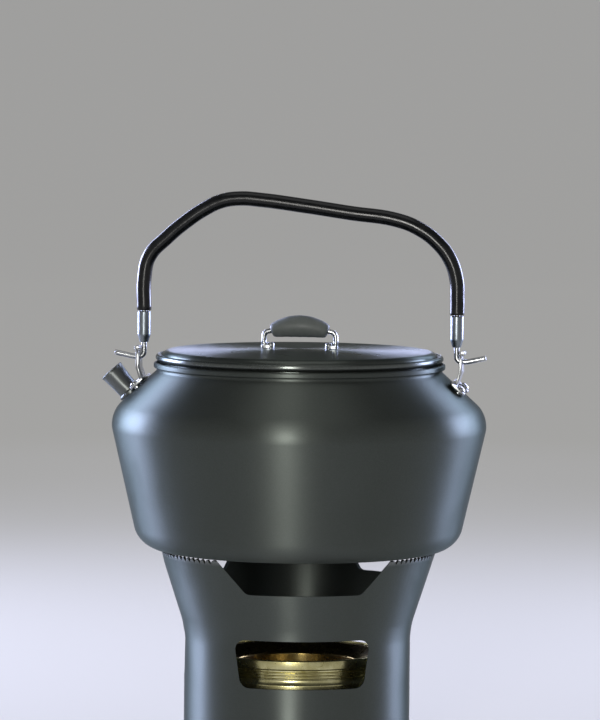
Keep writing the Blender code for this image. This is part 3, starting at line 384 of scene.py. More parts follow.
def blackSilicone(name, shade, roughness):
    # silicone, extruded or moulded: dark and smooth, with faint dust and a skin that isn't quite even
    material, shader = newMaterial(name, {"Metallic": 0.0, "Roughness": roughness, "IOR": 1.43})
    place = addNode(material, "ShaderNodeTexCoord").outputs["Object"]
    dust = addNode(material, "ShaderNodeTexNoise", {"Vector": place, "Scale": perMm(3.5), "Detail": 6.0,
                                                    "Roughness": 0.7})
    skin = addNode(material, "ShaderNodeTexNoise", {"Vector": place, "Scale": perMm(1.4), "Detail": 2.0})
    thin = addNode(material, "ShaderNodeMapRange", {"Value": dust.outputs["Fac"], "From Min": 0.45,
                                                    "From Max": 0.8, "To Min": 0.0, "To Max": 0.5})
    colour = addNode(material, "ShaderNodeMix", {0: thin.outputs[0], 6: toLinear(shade[0]),
                                                 7: toLinear(shade[1])}, data_type="RGBA")
    material.node_tree.links.new(colour.outputs[2], shader.inputs["Base Color"])
    dull = addNode(material, "ShaderNodeMapRange", {"Value": dust.outputs["Fac"], "From Min": 0.35,
                                                    "From Max": 0.75, "To Min": roughness,
                                                    "To Max": roughness + 0.16})
    material.node_tree.links.new(dull.outputs[0], shader.inputs["Roughness"])
    bump = addNode(material, "ShaderNodeBump", {"Height": skin.outputs["Fac"], "Strength": 0.12,
                                                "Distance": 0.05 * mm})
    material.node_tree.links.new(bump.outputs[0], shader.inputs["Normal"])
    return material


def woundCotton(name):
    # cotton wadding: off-white, matt and fluffy, in loose layers wound round the burner's inner wall
    material, shader = newMaterial(name, {"Metallic": 0.0, "Roughness": 0.95, "Sheen Weight": 0.3})
    place = addNode(material, "ShaderNodeTexCoord").outputs["Object"]
    # layers of about 1.6 mm: a wave texture has some 20 / 2 pi bands a unit at scale 1
    layers = addNode(material, "ShaderNodeTexWave", {"Vector": place, "Scale": perMm(1.6) / 20,
                                                     "Distortion": 6.0, "Detail": 4.0},
                     wave_type="RINGS", rings_direction="Z")
    colour = addNode(material, "ShaderNodeMix", {0: layers.outputs["Fac"], 6: toLinear("d9d2bf"),
                                                 7: toLinear("b3a88c")}, data_type="RGBA")
    material.node_tree.links.new(colour.outputs[2], shader.inputs["Base Color"])
    bump = addNode(material, "ShaderNodeBump", {"Height": layers.outputs["Fac"], "Strength": 0.6,
                                                "Distance": 0.4 * mm})
    material.node_tree.links.new(bump.outputs[0], shader.inputs["Normal"])
    return material


anodisedShades = ("535854", "5d625e", "696e6a")
standMetal = hardAnodised("hardAnodisedStand", anodisedShades, "a6a8a5", [("height", 85.6, 88.0)])
kettleMetal = hardAnodised("hardAnodisedKettle", anodisedShades, "8f928e", [("radius", 77.2, 79.0)], 0.45)
lidMetal = hardAnodised("hardAnodisedLid", anodisedShades, "8f9290", [("radius", 58.3, 59.4)], 0.28)
spoutMetal = hardAnodised("hardAnodisedSpout", ("6d7170", "7b7f7e", "898d8c"), "a8aaa9",
                          [("height", 160.5, 164.0)])
# the cup's brass is paler and greener than plain brass: partly its own colour, partly painted light from the
# blue flames that light it
paintedLitCupBrass = stainedBrass("brassCupPaintedLight", "faf5c4", "968c50", 2, 56)
crownBrass = stainedBrass("brassCrown", "c4ad6c", "4a3a22", 20, 46)
wireSteel = stainless("stainlessWire", ("c6c8ca", "aeb1b4"), 0.20, (6, 0.5, 0.5))
sheetSteel = stainless("stainlessSheet", ("bfc1c2", "a3a6a8"), 0.28, (0.6, 0.6, 5))
ferruleSteel = stainless("stainlessFerrule", ("929aa0", "7f878e"), 0.30, (0.5, 0.5, 4))
rivetSteel = stainless("stainlessRivet", ("c2c4c5", "a6a9ab"), 0.24, (0.7, 0.7, 0.7))
tubeSilicone = blackSilicone("blackSiliconeTube", ("0d0f11", "2b2d2f"), 0.16)
# the knob is dark silicone like the tube; its grey shades are painted light, standing in for the lit band
# that its gloss shows
paintedLitKnobSilicone = blackSilicone("blackSiliconeKnobPaintedLit", ("6f7573", "8a8e8d"), 0.42)
packing = woundCotton("woundCotton")

print("stand")

standShape = {
    "height": 88.0, "radius": 46.3, "rimRadius": 56.5, "wall": 1.2, "flareHeight": 32.0, "flareBend": 30.0,
    "turn": 10.0, "sectors": 3,
    "openingTop": 70.0, "openingBottom": 46.0, "openingDepth": 13.5, "openingFillet": 3.0, "cutOver": 4.0,
    "windowTop": 55.0, "windowBottom": 49.6, "windowHeight": 19.5, "windowBelowRim": 32.5,
    "windowFillet": 4.0,
    "toothPitch": 3.0, "toothDepth": 1.9, "toothMargin": 1.6, "toothHalf": 0.48, "toothOver": 0.2,
    "ventCount": 12, "ventRadius": 2.0, "ventHeight": 15.0,
    "rivetHeight": 5.0, "rivetHole": 1.5, "rivetReach": 46.6, "rivetGrip": 3.3, "rivetHead": 2.0,
}
standStart = math.radians(standShape["turn"])
windowTurns = evenTurns(standShape["sectors"], standStart)
rivetTurns = evenTurns(standShape["sectors"], standStart + math.pi / standShape["sectors"])


def faceCutter(points, near, far, turns):
    # cutter that goes through a wall that faces -Y, repeated round Z
    bm = slab(points, far - near)
    bmesh.ops.translate(bm, verts=bm.verts, vec=(0, -(near + far) / 2 * mm, 0))
    return copiesRound(bm, turns)


def rimOpening(shape):
    # trapezoid that is open at the rim; its sides run on over the rim
    floor, over = shape["height"] - shape["openingDepth"], shape["height"] + shape["cutOver"]
    spread = (shape["openingTop"] - shape["openingBottom"]) / 2 * shape["cutOver"] / shape["openingDepth"]
    half, halfTop = shape["openingBottom"] / 2, shape["openingTop"] / 2 + spread
    return [(-half, floor, shape["openingFillet"]), (half, floor, shape["openingFillet"]),
            (halfTop, over), (-halfTop, over)]


def slotWindow(shape):
    top = shape["height"] - shape["windowBelowRim"]
    floor = top - shape["windowHeight"]
    low, high, fillet = shape["windowBottom"] / 2, shape["windowTop"] / 2, shape["windowFillet"]
    return [(-low, floor, fillet), (low, floor, fillet), (high, top, fillet), (-high, top, fillet)]


def rimTooth(shape):
    # one notch; the lands between the notches are the teeth
    half, over = shape["toothPitch"] * shape["toothHalf"], shape["toothDepth"] * shape["toothOver"]
    return [(-half, shape["height"] + over), (0, shape["height"] - shape["toothDepth"]),
            (half, shape["height"] + over)]


def toothTurns(shape):
    # notches on the rim between two openings, clear of the openings by the margin
    land = math.pi / shape["sectors"] - math.asin(shape["openingTop"] / 2 / shape["rimRadius"])
    step = shape["toothPitch"] / shape["rimRadius"]
    perSide = int((land - shape["toothMargin"] / shape["rimRadius"]) / step)
    return [turn + step * number for turn in rivetTurns for number in range(-perSide, perSide + 1)]


def makeStandShell(shape):
    kink = shape["height"] - shape["flareHeight"]
    lean = math.atan2(shape["rimRadius"] - shape["radius"], shape["flareHeight"])
    top = shape["height"] - shape["wall"] * math.sin(lean)
    shell = asObject("standShellFine", spun([(shape["rimRadius"], top),
                                             (shape["radius"], kink, shape["flareBend"]),
                                             (shape["radius"], 0)], steps=240, arc=10))
    addWall(shell, shape["wall"])
    near, far = shape["radius"] * 0.5, shape["rimRadius"] * 1.2     # from well inside the wall to outside
    carve(shell, faceCutter(rimOpening(shape), near, far, windowTurns),
          faceCutter(slotWindow(shape), near, far, windowTurns))
    vent = wallDrill(shape["ventRadius"], shape["radius"], shape["ventHeight"])
    hole = wallDrill(shape["rivetHole"], shape["radius"], shape["rivetHeight"])
    notches = faceCutter(rimTooth(shape), shape["rimRadius"] - 5, shape["rimRadius"] + 3, toothTurns(shape))
    carve(shell, notches, copiesRound(vent, evenTurns(shape["ventCount"], standStart)),
          copiesRound(hole, rivetTurns))
    dress(shell, standMetal, "stand", "hard_anodised_aluminium", "windshield_shell")


makeStandShell(standShape)

panShape = {"radius": 44.8, "height": 9.0, "wall": 1.2, "corner": 1.5, "ringInner": 39.4, "ringOuter": 41.6,
            "ringHeight": 2.0, "ringRound": 0.5, "slope": 0.7}


def makePan(shape):
    # floor pan with a pressed ring that centres the burner
    pan = asObject("basePanFine", spun([(shape["radius"], shape["height"]),
                                        (shape["radius"], 0, shape["corner"]),
                                        (shape["ringOuter"] + shape["slope"], 0),
                                        (shape["ringOuter"], shape["ringHeight"], shape["ringRound"]),
                                        (shape["ringInner"], shape["ringHeight"], shape["ringRound"]),
                                        (shape["ringInner"] - shape["slope"], 0), (0, 0)], arc=5))
    addWall(pan, shape["wall"])
    hole = wallDrill(standShape["rivetHole"], shape["radius"], standShape["rivetHeight"])
    carve(pan, copiesRound(hole, rivetTurns))
    dress(pan, standMetal, "stand", "hard_anodised_aluminium", "base_pan")


makePan(panShape)

print("rivets")

rivetShape = {"shank": 1.2, "headHeight": 1.0, "tailHeight": 0.6, "tailShare": 0.9, "tailRound": 0.2}


def makeRivet(node, place, way, grip, head, body):
    # domed head at place, shank against way, flat tail beyond the sheets
    rise, shank, tail = rivetShape["headHeight"], rivetShape["shank"], head * rivetShape["tailShare"]
    end = -grip - rivetShape["tailHeight"]
    bm = spun([(0, rise), (head * 0.42, rise * 0.93), (head * 0.76, rise * 0.68), (head * 0.96, rise * 0.24),
               (head, 0), (shank, 0), (shank, -grip), (tail, -grip), (tail, end, rivetShape["tailRound"]),
               (0, end)], steps=40, arc=3)
    aim = Vector(way).to_track_quat("Z", "Y").to_matrix().to_4x4()
    rivet = asObject(node + "Fine", turned(bm, Matrix.Translation(Vector(place) * mm) @ aim))
    dress(rivet, rivetSteel, body, "stainless_steel", node, angle=50)


def makeBaseRivets(shape):
    for number, turn in enumerate(rivetTurns):
        outward = Matrix.Rotation(turn, 3, "Z") @ Vector((0, -1, 0))
        place = outward * shape["rivetReach"] + Vector((0, 0, shape["rivetHeight"]))
        makeRivet(f"base_rivet_{number + 1}", place, outward, shape["rivetGrip"], shape["rivetHead"], "stand")


makeBaseRivets(standShape)

print("burner")

cupShape = {"base": 1.5, "radius": 37.0, "height": 45.0, "wall": 0.8, "corner": 3.5, "bead": 4.0,
            "lip": 0.8, "bandHeight": 5.0, "bandDepth": 1.1, "bandRound": 0.8,
            "threadPitch": 1.25, "threadRise": 0.55, "threadHalf": 0.42, "threadFlat": 0.1,
            "threadStart": 0.5, "threadSpare": 0.6}


def makeCup(shape):
    beadFloor = shape["height"] - shape["bead"]
    bandFloor = beadFloor - shape["bandHeight"]
    root = shape["radius"] - shape["bandDepth"]
    crest = root + shape["threadRise"]
    points = [(shape["radius"] - shape["lip"], shape["height"]),
              (shape["radius"], shape["height"] - 0.1, 0.6),
              (shape["radius"], beadFloor + 0.2, 0.5), (root, beadFloor - 0.2)]
    ridges = int((shape["bandHeight"] - shape["threadSpare"]) / shape["threadPitch"])
    for ridge in range(ridges):     # screw thread for the cap, drawn as rings
        middle = beadFloor - shape["threadStart"] - shape["threadPitch"] * (ridge + 0.5)
        points += [(root, middle + shape["threadHalf"]), (crest, middle + shape["threadFlat"]),
                   (crest, middle - shape["threadFlat"]), (root, middle - shape["threadHalf"])]
    points += [(root, bandFloor), (shape["radius"], bandFloor - shape["bandDepth"], shape["bandRound"]),
               (shape["radius"], 0, shape["corner"]), (0, 0)]
    bm = spun(points, steps=160, arc=5)
    bmesh.ops.translate(bm, verts=bm.verts, vec=(0, 0, shape["base"] * mm))
    cup = asObject("burnerCupFine", bm)
    addWall(cup, shape["wall"])
    dress(cup, paintedLitCupBrass, "burner", "brass", "burner_cup", angle=50)


makeCup(cupShape)

crownShape = {"base": 1.5, "outer": 35.1, "inner": 26.2, "top": 44.2, "drop": 4.0, "land": 1.5,
              "skirt": 2.4, "foot": 4.8, "wall": 0.8, "jets": 24, "jetRadius": 0.6, "jetDrill": 2.4}


def makeCrown(shape):
    # inner wall, sloping crown with its ring of jets, and the skirt that fits the cup
    landStart = shape["outer"] - shape["land"]
    bm = spun([(shape["inner"], shape["foot"]), (shape["inner"], shape["top"] - shape["drop"], 1.0),
               (landStart, shape["top"], 0.6), (shape["outer"], shape["top"], 0.7),
               (shape["outer"], shape["top"] - shape["skirt"])], steps=192, arc=5)
    crown = asObject("burnerCrownFine", bm)
    addWall(crown, shape["wall"])
    slant = math.atan2(shape["drop"], landStart - shape["inner"] - shape["wall"])
    middle = Vector(((landStart + shape["inner"] + shape["wall"]) / 2, 0, shape["top"] - shape["drop"] / 2))
    reach = Vector((-math.sin(slant), 0, math.cos(slant))) * shape["jetDrill"]
    jet = rod(shape["jetRadius"], middle - reach, middle + reach, sides=16)
    carve(crown, copiesRound(jet, evenTurns(shape["jets"], fullTurn / shape["jets"] / 4)))
    crown.data.transform(Matrix.Translation((0, 0, shape["base"] * mm)))
    dress(crown, crownBrass, "burner", "brass", "burner_insert", angle=45)


makeCrown(crownShape)
carryOver("wick_ring", packing)

print("kettle")

kettleShape = {"base": 88.3, "wall": 1.2, "footRadius": 65.2, "footFillet": 11.0,
               "shoulderRadius": 77.8, "shoulderHeight": 54.9, "shoulderFillet": 11.0,
               "neckRadius": 58.4, "neckHeight": 72.8, "neckRound": 1.2,
               "beadWidth": 1.2, "beadHeight": 2.4, "beadInset": 0.35, "beadRound": 0.5, "lipStep": 0.36,
               "rimHeight": 76.2, "spoutRadius": 69.5, "spoutHole": 4.6, "spoutDrill": 6.0,
               "rivetHole": 1.5, "rivetDrill": 5.0}
earShape = {"footRadius": 64.0, "rivetReach": 2.7, "sheet": 1.2, "spread": 8.3, "gap": 0.3,
            "softEdge": 0.16, "rivetGrip": 3.9, "rivetHead": 2.0}
slope = math.atan2(kettleShape["neckHeight"] - kettleShape["shoulderHeight"],
                   kettleShape["shoulderRadius"] - kettleShape["neckRadius"])
shoulderUp = Vector((math.sin(slope), 0, math.cos(slope)))
shoulderOut = Vector((math.cos(slope), 0, -math.sin(slope)))
halfTurn = Matrix.Rotation(math.pi, 3, "Z")


def onShoulder(radius):
    # point of the shoulder at +X
    drop = (radius - kettleShape["neckRadius"]) * math.tan(slope)
    return Vector((radius, 0, kettleShape["base"] + kettleShape["neckHeight"] - drop))


def earRivetPlaces():
    centre = onShoulder(earShape["footRadius"]) + shoulderOut * earShape["rivetReach"]
    return [centre + Vector((0, side * earShape["spread"], 0)) for side in (-1, 1)]


def makeKettle(shape):
    bead, beadFloor = shape["neckRadius"] + shape["beadWidth"], shape["rimHeight"] - shape["beadHeight"]
    bm = spun([(shape["neckRadius"] + shape["lipStep"], shape["rimHeight"]),
               (bead, shape["rimHeight"] - shape["beadInset"], shape["beadRound"]),
               (bead, beadFloor + shape["beadInset"], shape["beadRound"]),
               (shape["neckRadius"], beadFloor, 0.3),
               (shape["neckRadius"], shape["neckHeight"], shape["neckRound"]),
               (shape["shoulderRadius"], shape["shoulderHeight"], shape["shoulderFillet"]),
               (shape["footRadius"], 0, shape["footFillet"]), (0, 0)], steps=256, arc=12)
    bmesh.ops.translate(bm, verts=bm.verts, vec=(0, 0, shape["base"] * mm))
    body = asObject("kettleBodyFine", bm)
    addWall(body, shape["wall"])
    root, drill = onShoulder(shape["spoutRadius"]), shoulderUp * shape["spoutDrill"]
    spoutHole = rod(shape["spoutHole"], halfTurn @ (root - drill), halfTurn @ (root + drill))
    drill = shoulderUp * shape["rivetDrill"]
    rivetHoles = [rod(shape["rivetHole"], place - drill, place + drill) for place in earRivetPlaces()]
    carve(body, spoutHole, copiesRound(join(*rivetHoles), evenTurns(2)))
    dress(body, kettleMetal, "kettle", "hard_anodised_aluminium", "kettle_body")


makeKettle(kettleShape)

spoutShape = {"root": 4.3, "mouth": 5.2, "wall": 0.8, "length": 12.6, "collar": 5.1, "collarHeight": 1.2,
              "collarRound": 0.4, "inside": 2.8, "gap": 0.3, "lip": 0.3, "waist": 0.2, "waistShare": 0.45,
              "waistBend": 8.0}


def makeSpout(shape):
    # tube that flares to its mouth, with a collar on the shoulder, drawn upright and then leaned
    length, bore = shape["length"], shape["root"] - shape["wall"]
    waist = length * shape["waistShare"]
    bm = spun([(shape["mouth"] - 0.45, length, shape["lip"]), (shape["mouth"], length - 0.35, shape["lip"]),
               (shape["mouth"] - 0.25, length - 1.2, 1.0),
               (shape["root"] + shape["waist"], waist, shape["waistBend"]),
               (shape["root"], shape["collarHeight"] + 0.3, shape["collarRound"]),
               (shape["collar"], shape["collarHeight"] * 0.7 + 0.3, shape["collarRound"]),
               (shape["collar"], shape["gap"]), (shape["root"], shape["gap"]),
               (shape["root"], -shape["inside"]), (bore, -shape["inside"]),
               (bore + shape["waist"], waist, shape["waistBend"]),
               (shape["mouth"] - shape["wall"], length - 0.5)], closed=True, steps=64, arc=5)
    place = Matrix.Translation(halfTurn @ onShoulder(kettleShape["spoutRadius"]) * mm)
    spout = asObject("spoutFine", turned(bm, place @ Matrix.Rotation(-slope, 4, "Y")))
    dress(spout, spoutMetal, "kettle", "hard_anodised_aluminium", "spout_tube", angle=50)


makeSpout(spoutShape)

print("ears")


def makeEar(node):
    # the stamped ear itself, with the sharp edges of its sheet softened
    bm = bmesh.new()
    bm.from_mesh(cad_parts[node].data)
    bmesh.ops.remove_doubles(bm, verts=bm.verts, dist=0.002 * mm)
    bmesh.ops.dissolve_limit(bm, angle_limit=math.radians(2), verts=bm.verts, edges=bm.edges)
    ear = asObject(node + "Fine", bm)
    softEdges(ear, earShape["softEdge"], angle=50)
    dress(ear, sheetSteel, "kettle", "stainless_steel", node, angle=40)


def makeEarRivets(shape):
    # two on the spout side, then two on the back side
    heads = [place + shoulderUp * (shape["sheet"] + 2 * shape["gap"]) for place in earRivetPlaces()]
    places = [(Matrix.Rotation(turn, 3, "Z"), head) for turn in (math.pi, 0) for head in heads]
    for number, (swing, head) in enumerate(places):
        makeRivet(f"ear_rivet_{number + 1}", swing @ head, swing @ shoulderUp, shape["rivetGrip"],
                  shape["rivetHead"], "kettle")


makeEar("ear_spout_side")
makeEar("ear_back_side")
makeEarRivets(earShape)

print("lid")

lidShape = {"base": 164.8, "ringRadius": 58.9, "ringHeight": 3.1, "ringWidth": 2.6, "domeRise": 2.4,
            "domeSag": 0.9, "shoulderWidth": 3.0, "sheet": 1.0, "skirt": 56.7, "skirtDepth": 4.5,
            "valleyDrop": 1.1, "domeSteps": 14, "shoulderSteps": 9, "rivetHole": 1.5, "rivetReach": 11.9}
lidShoulder = lidShape["ringRadius"] - lidShape["ringWidth"] - lidShape["shoulderWidth"]


def domeHeight(radius):
    # height over the lid's base: a shallow dome, then a quarter ellipse down to the valley by the ring
    top = lidShape["ringHeight"] + lidShape["domeRise"]
    if radius <= lidShoulder:
        return top - lidShape["domeSag"] * (radius / lidShoulder) ** 2
    low = lidShape["ringHeight"] - lidShape["valleyDrop"]
    share = min(1.0, (radius - lidShoulder) / lidShape["shoulderWidth"])
    return low + (top - lidShape["domeSag"] - low) * math.sqrt(1 - share ** 2)


def handleDrills(low, high):
    # one drill for the rivet in each foot of the lid's handle
    reach = lidShape["rivetReach"]
    return join(*[rod(lidShape["rivetHole"], (side * reach, 0, low), (side * reach, 0, high))
                  for side in (-1, 1)])


def makeLid(shape):
    dome, shoulder = shape["domeSteps"], shape["shoulderSteps"]
    reach = [lidShoulder * step / dome for step in range(dome + 1)]
    reach += [lidShoulder + shape["shoulderWidth"] * math.sin(math.pi / 2 * step / shoulder)
              for step in range(1, shoulder + 1)]
    top = [(radius, domeHeight(radius)) for radius in reach]
    ring, width, height = shape["ringRadius"], shape["ringWidth"], shape["ringHeight"]
    outside, inside = shape["skirt"] - 0.5, shape["skirt"] - 1.5
    edge = [(ring - width * 0.75, height * 0.90, 0.5), (ring - width * 0.42, height, 0.7),
            (ring - width * 0.06, height * 0.80, 0.7), (ring, height * 0.42, 0.8),
            (ring - width * 0.45, 0, 0.3), (outside, 0), (outside, -shape["skirtDepth"]),
            (inside, -shape["skirtDepth"]), (inside, height * 0.2)]
    under = [(radius - shape["sheet"], domeHeight(radius) - shape["sheet"])
             for radius in reversed(reach[3:-1])]
    bm = spun(top + edge + under + [(0, domeHeight(0) - shape["sheet"])], steps=224, arc=6)
    bmesh.ops.translate(bm, verts=bm.verts, vec=(0, 0, shape["base"] * mm))
    lid = asObject("lidFine", bm)
    carve(lid, handleDrills(shape["base"] - 2, shape["base"] + 10))
    dress(lid, lidMetal, "lid", "hard_anodised_aluminium", "lid_pan", angle=40)


makeLid(lidShape)

knobShape = {"halfSpan": 14.8, "wire": 1.05, "rise": 8.9, "arch": 2.1, "gripHalf": 11.6, "gripRadius": 4.5,
             "gripEnd": 2.7, "footThick": 1.0, "footWidth": 4.4, "inset": 2.9, "head": 1.5, "gap": 0.3,
             "rivetGrip": 3.2}
knobFoot = lidShape["base"] + domeHeight(knobShape["halfSpan"] - knobShape["inset"]) + knobShape["gap"]


def makeKnobWire(shape):
    # the wire arch, with a flat riveted tongue at each foot
    low, crest = knobFoot + shape["footThick"] / 2, knobFoot + shape["rise"]
    right = [(shape["halfSpan"] * 0.985, 0, low), (shape["halfSpan"], 0, low + (crest - low) * 0.35),
             (shape["halfSpan"] * 0.955, 0, low + (crest - low) * 0.66),
             (shape["gripHalf"] + 0.8, 0, crest - shape["arch"]),
             (shape["gripHalf"] * 0.55, 0, crest - shape["arch"] * 0.3)]
    left = [(-x, y, z) for x, y, z in right]
    wire = asObject("knobWireFine", tube("knobWire", [*left, (0, 0, crest), *reversed(right)], shape["wire"]))
    outer = -shape["halfSpan"] - shape["wire"]
    inner = -shape["halfSpan"] + shape["inset"] + shape["head"]
    side = shape["footWidth"] / 2
    tongue = slab([(outer, -side, side * 0.5), (inner, -side, side * 0.9), (inner, side, side * 0.9),
                   (outer, side, side * 0.5)], shape["footThick"], arc=6)
    lay = Matrix.Translation((0, 0, low * mm)) @ Matrix.Rotation(math.radians(90), 4, "X")
    carve(wire, copiesRound(turned(tongue, lay), evenTurns(2)), way="UNION")
    carve(wire, handleDrills(knobFoot - 3, knobFoot + 3))
    dress(wire, wireSteel, "lid", "stainless_steel", "lid_handle_wire", angle=45)


def makeKnobGrip(shape):
    # fat in the middle, with round ends
    crest = knobFoot + shape["rise"]
    shares = (-1, -0.99, -0.96, -0.90, -0.7, -0.35, 0, 0.35, 0.7, 0.90, 0.96, 0.99, 1)
    end = shape["gripEnd"] / shape["gripRadius"]
    swell = [end + (1 - end) * (1 - share ** 2) for share in shares]
    for index, factor in ((0, 0.66), (1, 0.84), (2, 0.95)):
        swell[index] *= factor
        swell[-1 - index] *= factor
    stations = [(share * shape["gripHalf"], 0, crest - shape["arch"] * share ** 2) for share in shares]
    grip = asObject("knobGripFine", tube("knobGrip", stations, shape["gripRadius"], swell, roundness=12))
    dress(grip, paintedLitKnobSilicone, "lid", "black_rubber", "lid_handle_grip", angle=60)


def makeKnobRivets(shape):
    for number, side in enumerate((-1, 1)):
        place = (side * lidShape["rivetReach"], 0, knobFoot + shape["footThick"] + shape["gap"])
        makeRivet(f"lid_rivet_{number + 1}", place, (0, 0, 1), shape["rivetGrip"], shape["head"], "lid")


makeKnobWire(knobShape)
makeKnobGrip(knobShape)
makeKnobRivets(knobShape)

print("bail")

bailShape = {"pivot": 166.0, "wire": 1.1, "halfSpan": 64.4, "rise": 65.3, "bend": 2.0, "tipReach": 76.4,
             "tipLift": 1.6, "grip": 3.0, "ferrule": 2.65, "ferruleFoot": 1.75, "ferruleStart": 5.9,
             "ferruleLength": 12.8, "taper": 3.0, "ear": 66.4, "play": 0.3, "tipBend": 2.4}
# the arch from the spout side to the back, as shares of the half span and of the rise
archShares = [(-1, 0.50), (-0.970, 0.628), (-0.850, 0.755), (-0.743, 0.845), (-0.620, 0.929),
              (-0.508, 0.982), (-0.388, 1.0), (-0.260, 0.993), (0.0, 0.962), (0.31, 0.919), (0.629, 0.874),
              (0.761, 0.821), (0.867, 0.744), (0.952, 0.637), (0.994, 0.513), (1, 0.40)]


def archStations(shape):
    low = shape["pivot"] + shape["ferruleStart"] + shape["ferruleLength"] + shape["play"]
    half = shape["halfSpan"]
    arch = [(across * half, 0, shape["pivot"] + rise * shape["rise"]) for across, rise in archShares]
    return [(-half, 0, low), *arch, (half, 0, low)]


def makeBailGrip(shape):
    bm = tube("bailGrip", archStations(shape), shape["grip"], caps=False, roundness=10)
    grip = asObject("bailGripFine", bm)
    addWall(grip, shape["grip"] - shape["wire"] - shape["play"])
    softEdges(grip, 0.35, angle=60, segments=3)
    dress(grip, tubeSilicone, "bail", "black_rubber", "bail_grip", angle=50)


def wireFoot(shape, side):
    # from the upturned tip, in through the ear and up the leg
    knee = side * (shape["ear"] + shape["tipBend"])
    bm = outline([(side * shape["tipReach"], shape["tipLift"]), (knee, 0, 3 * shape["bend"]),
                  (side * shape["halfSpan"], 0, shape["bend"]),
                  (side * shape["halfSpan"], shape["ferruleStart"])], arc=6)
    ends = [vert for vert in bm.verts if len(vert.link_edges) == 1]
    verts = [max(ends, key=lambda vert: abs(vert.co.x))]
    while True:     # walk the wire from its tip
        nexts = [edge.other_vert(verts[-1]) for edge in verts[-1].link_edges]
        nexts = [vert for vert in nexts if vert not in verts]
        if not nexts:
            break
        verts.append(nexts[0])
    places = [(vert.co.x / mm, 0, vert.co.z / mm + shape["pivot"]) for vert in verts]
    bm.free()
    return places


def makeBailWire(shape):
    route = [*wireFoot(shape, -1), *archStations(shape), *reversed(wireFoot(shape, 1))]
    wire = asObject("bailWireFine", tube("bailWire", route, shape["wire"]))
    softEdges(wire, 0.25, angle=60)
    dress(wire, wireSteel, "bail", "stainless_steel", "bail_wire", angle=50)


def makeFerrule(shape, node, side):
    # bright sleeve that tapers to the wire below
    foot, top = shape["ferruleStart"], shape["ferruleStart"] + shape["ferruleLength"]
    bore = shape["wire"] + shape["play"]
    bm = spun([(shape["ferrule"] - 0.35, top), (shape["ferrule"], top - 0.3, 0.3),
               (shape["ferrule"], foot + shape["taper"], 3.0), (shape["ferruleFoot"], foot),
               (bore, foot), (bore, top)], closed=True, steps=48, arc=8)
    bmesh.ops.translate(bm, verts=bm.verts, vec=(side * shape["halfSpan"] * mm, 0, shape["pivot"] * mm))
    ferrule = asObject(node + "Fine", bm)
    dress(ferrule, ferruleSteel, "bail", "stainless_steel", node, angle=40)


makeBailGrip(bailShape)
makeBailWire(bailShape)
makeFerrule(bailShape, "bail_ferrule_spout_side", -1)
makeFerrule(bailShape, "bail_ferrule_back_side", 1)

print("studio")


def makeStudio(shape):
    # a round floor that sweeps up into a wall, so that every view has the same pale background
    bm = spun([(0, 0), (shape["radius"], 0, shape["sweep"]), (shape["radius"], shape["wallHeight"])],
              steps=96, arc=16)
    bmesh.ops.reverse_faces(bm, faces=bm.faces)
    floor = asObject("floor", bm)
    paper, shader = newMaterial("seamlessPaper", {"Base Color": toLinear(shape["paper"]), "Roughness": 0.9,
                                                  "Emission Color": (1, 1, 1, 1)})
    path = addNode(paper, "ShaderNodeLightPath")
    direct = addNode(paper, "ShaderNodeMath", {0: path.outputs["Is Camera Ray"],
                                               1: path.outputs["Is Transmission Ray"]}, operation="MAXIMUM")
    seen = addNode(paper, "ShaderNodeMath", {0: direct.outputs[0], 1: path.outputs["Is Glossy Ray"]},
                   operation="MAXIMUM")
    level = addNode(paper, "ShaderNodeMath", {0: seen.outputs[0], 1: shape["glow"]}, operation="MULTIPLY")
    paper.node_tree.links.new(level.outputs[0], shader.inputs["Emission Strength"])
    floor.data.materials.append(paper)
    floor.data.shade_smooth()


makeStudio(studio)

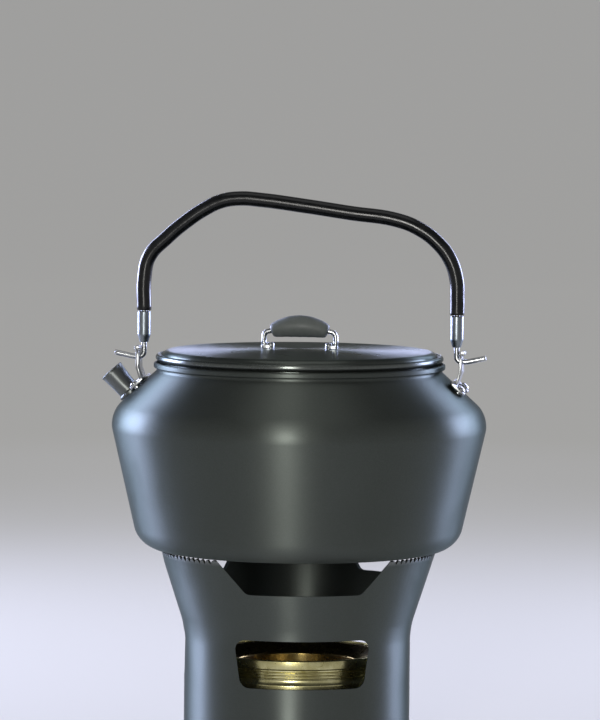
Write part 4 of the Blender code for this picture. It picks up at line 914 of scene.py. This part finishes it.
# turn is round from the camera, to the right, and rise is up, both as seen from the object
lamps = {
    "sideLeft": {"turn": -124, "rise": 9, "distance": 1000, "size": (560, 440), "power": 9.6,
                 "shade": "cad2ff", "spread": 110},
    "sideRight": {"turn": 124, "rise": 9, "distance": 1000, "size": (520, 440), "power": 5.8,
                  "shade": "cad2ff", "spread": 110},
    "front": {"turn": -8, "rise": 7, "distance": 1500, "size": (240, 500), "power": 1.5,
              "shade": "fffdf8", "spread": 80},
    "above": {"turn": 0, "rise": 86, "distance": 1900, "size": (1400, 1400), "power": 3.6,
              "shade": "ffffff", "spread": 180},
    "stripLeft": {"turn": -176.4, "rise": 6.5, "distance": 1500, "size": (60, 90), "power": 0.17,
                  "shade": "cad2ff", "spread": 180},
    "stripRight": {"turn": 176.4, "rise": 6.5, "distance": 1500, "size": (60, 90), "power": 0.17,
                   "shade": "cad2ff", "spread": 180},
    "rearLeft": {"turn": -150, "rise": 22, "distance": 1000, "size": (260, 380), "power": 2.6,
                 "shade": "cad2ff", "spread": 180},
    "rearRight": {"turn": 150, "rise": 22, "distance": 1000, "size": (260, 380), "power": 2.6,
                  "shade": "cad2ff", "spread": 180},
}


def wayTo(turn, rise):
    # unit vector from the object towards a lamp or the camera
    turn, rise = math.radians(look["azimuth"] + turn), math.radians(rise)
    return Vector((math.sin(turn) * math.cos(rise), -math.cos(turn) * math.cos(rise), math.sin(rise)))


def makeLamp(name, lamp):
    data = bpy.data.lights.new(name, "AREA")
    data.shape = "RECTANGLE"
    data.size, data.size_y = lamp["size"][0] * mm, lamp["size"][1] * mm
    data.energy = lamp["power"]
    data.spread = math.radians(lamp["spread"])
    data.color = toLinear(lamp["shade"])[:3]
    light = bpy.data.objects.new(name, data)
    away = wayTo(lamp["turn"], lamp["rise"])
    light.location = (Vector(look["aim"]) + away * lamp["distance"]) * mm
    light.rotation_euler = (-away).to_track_quat("-Z", "Y").to_euler()
    bpy.context.scene.collection.objects.link(light)


def makeCamera(shape):
    camera = bpy.data.objects.new("camera", bpy.data.cameras.new("camera"))
    camera.data.lens = shape["lens"]
    camera.data.sensor_width = 36
    camera.data.clip_end = 20
    back = wayTo(0, shape["elevation"])
    lean = Matrix.Rotation(math.radians(shape["roll"]), 3, "Z").to_quaternion()
    camera.location = (Vector(shape["aim"]) + back * shape["distance"]) * mm
    camera.rotation_euler = ((-back).to_track_quat("-Z", "Y") @ lean).to_euler()
    bpy.context.scene.collection.objects.link(camera)
    bpy.context.scene.camera = camera


for name, lamp in lamps.items():
    makeLamp(name, lamp)

world = bpy.data.worlds.new("studio")
world.use_nodes = True
world.node_tree.nodes["Background"].inputs["Color"].default_value = (1, 1, 1, 1)
world.node_tree.nodes["Background"].inputs["Strength"].default_value = studio["fillLevel"]
bpy.context.scene.world = world
bpy.context.scene.view_settings.view_transform = "Standard"

makeCamera(look)
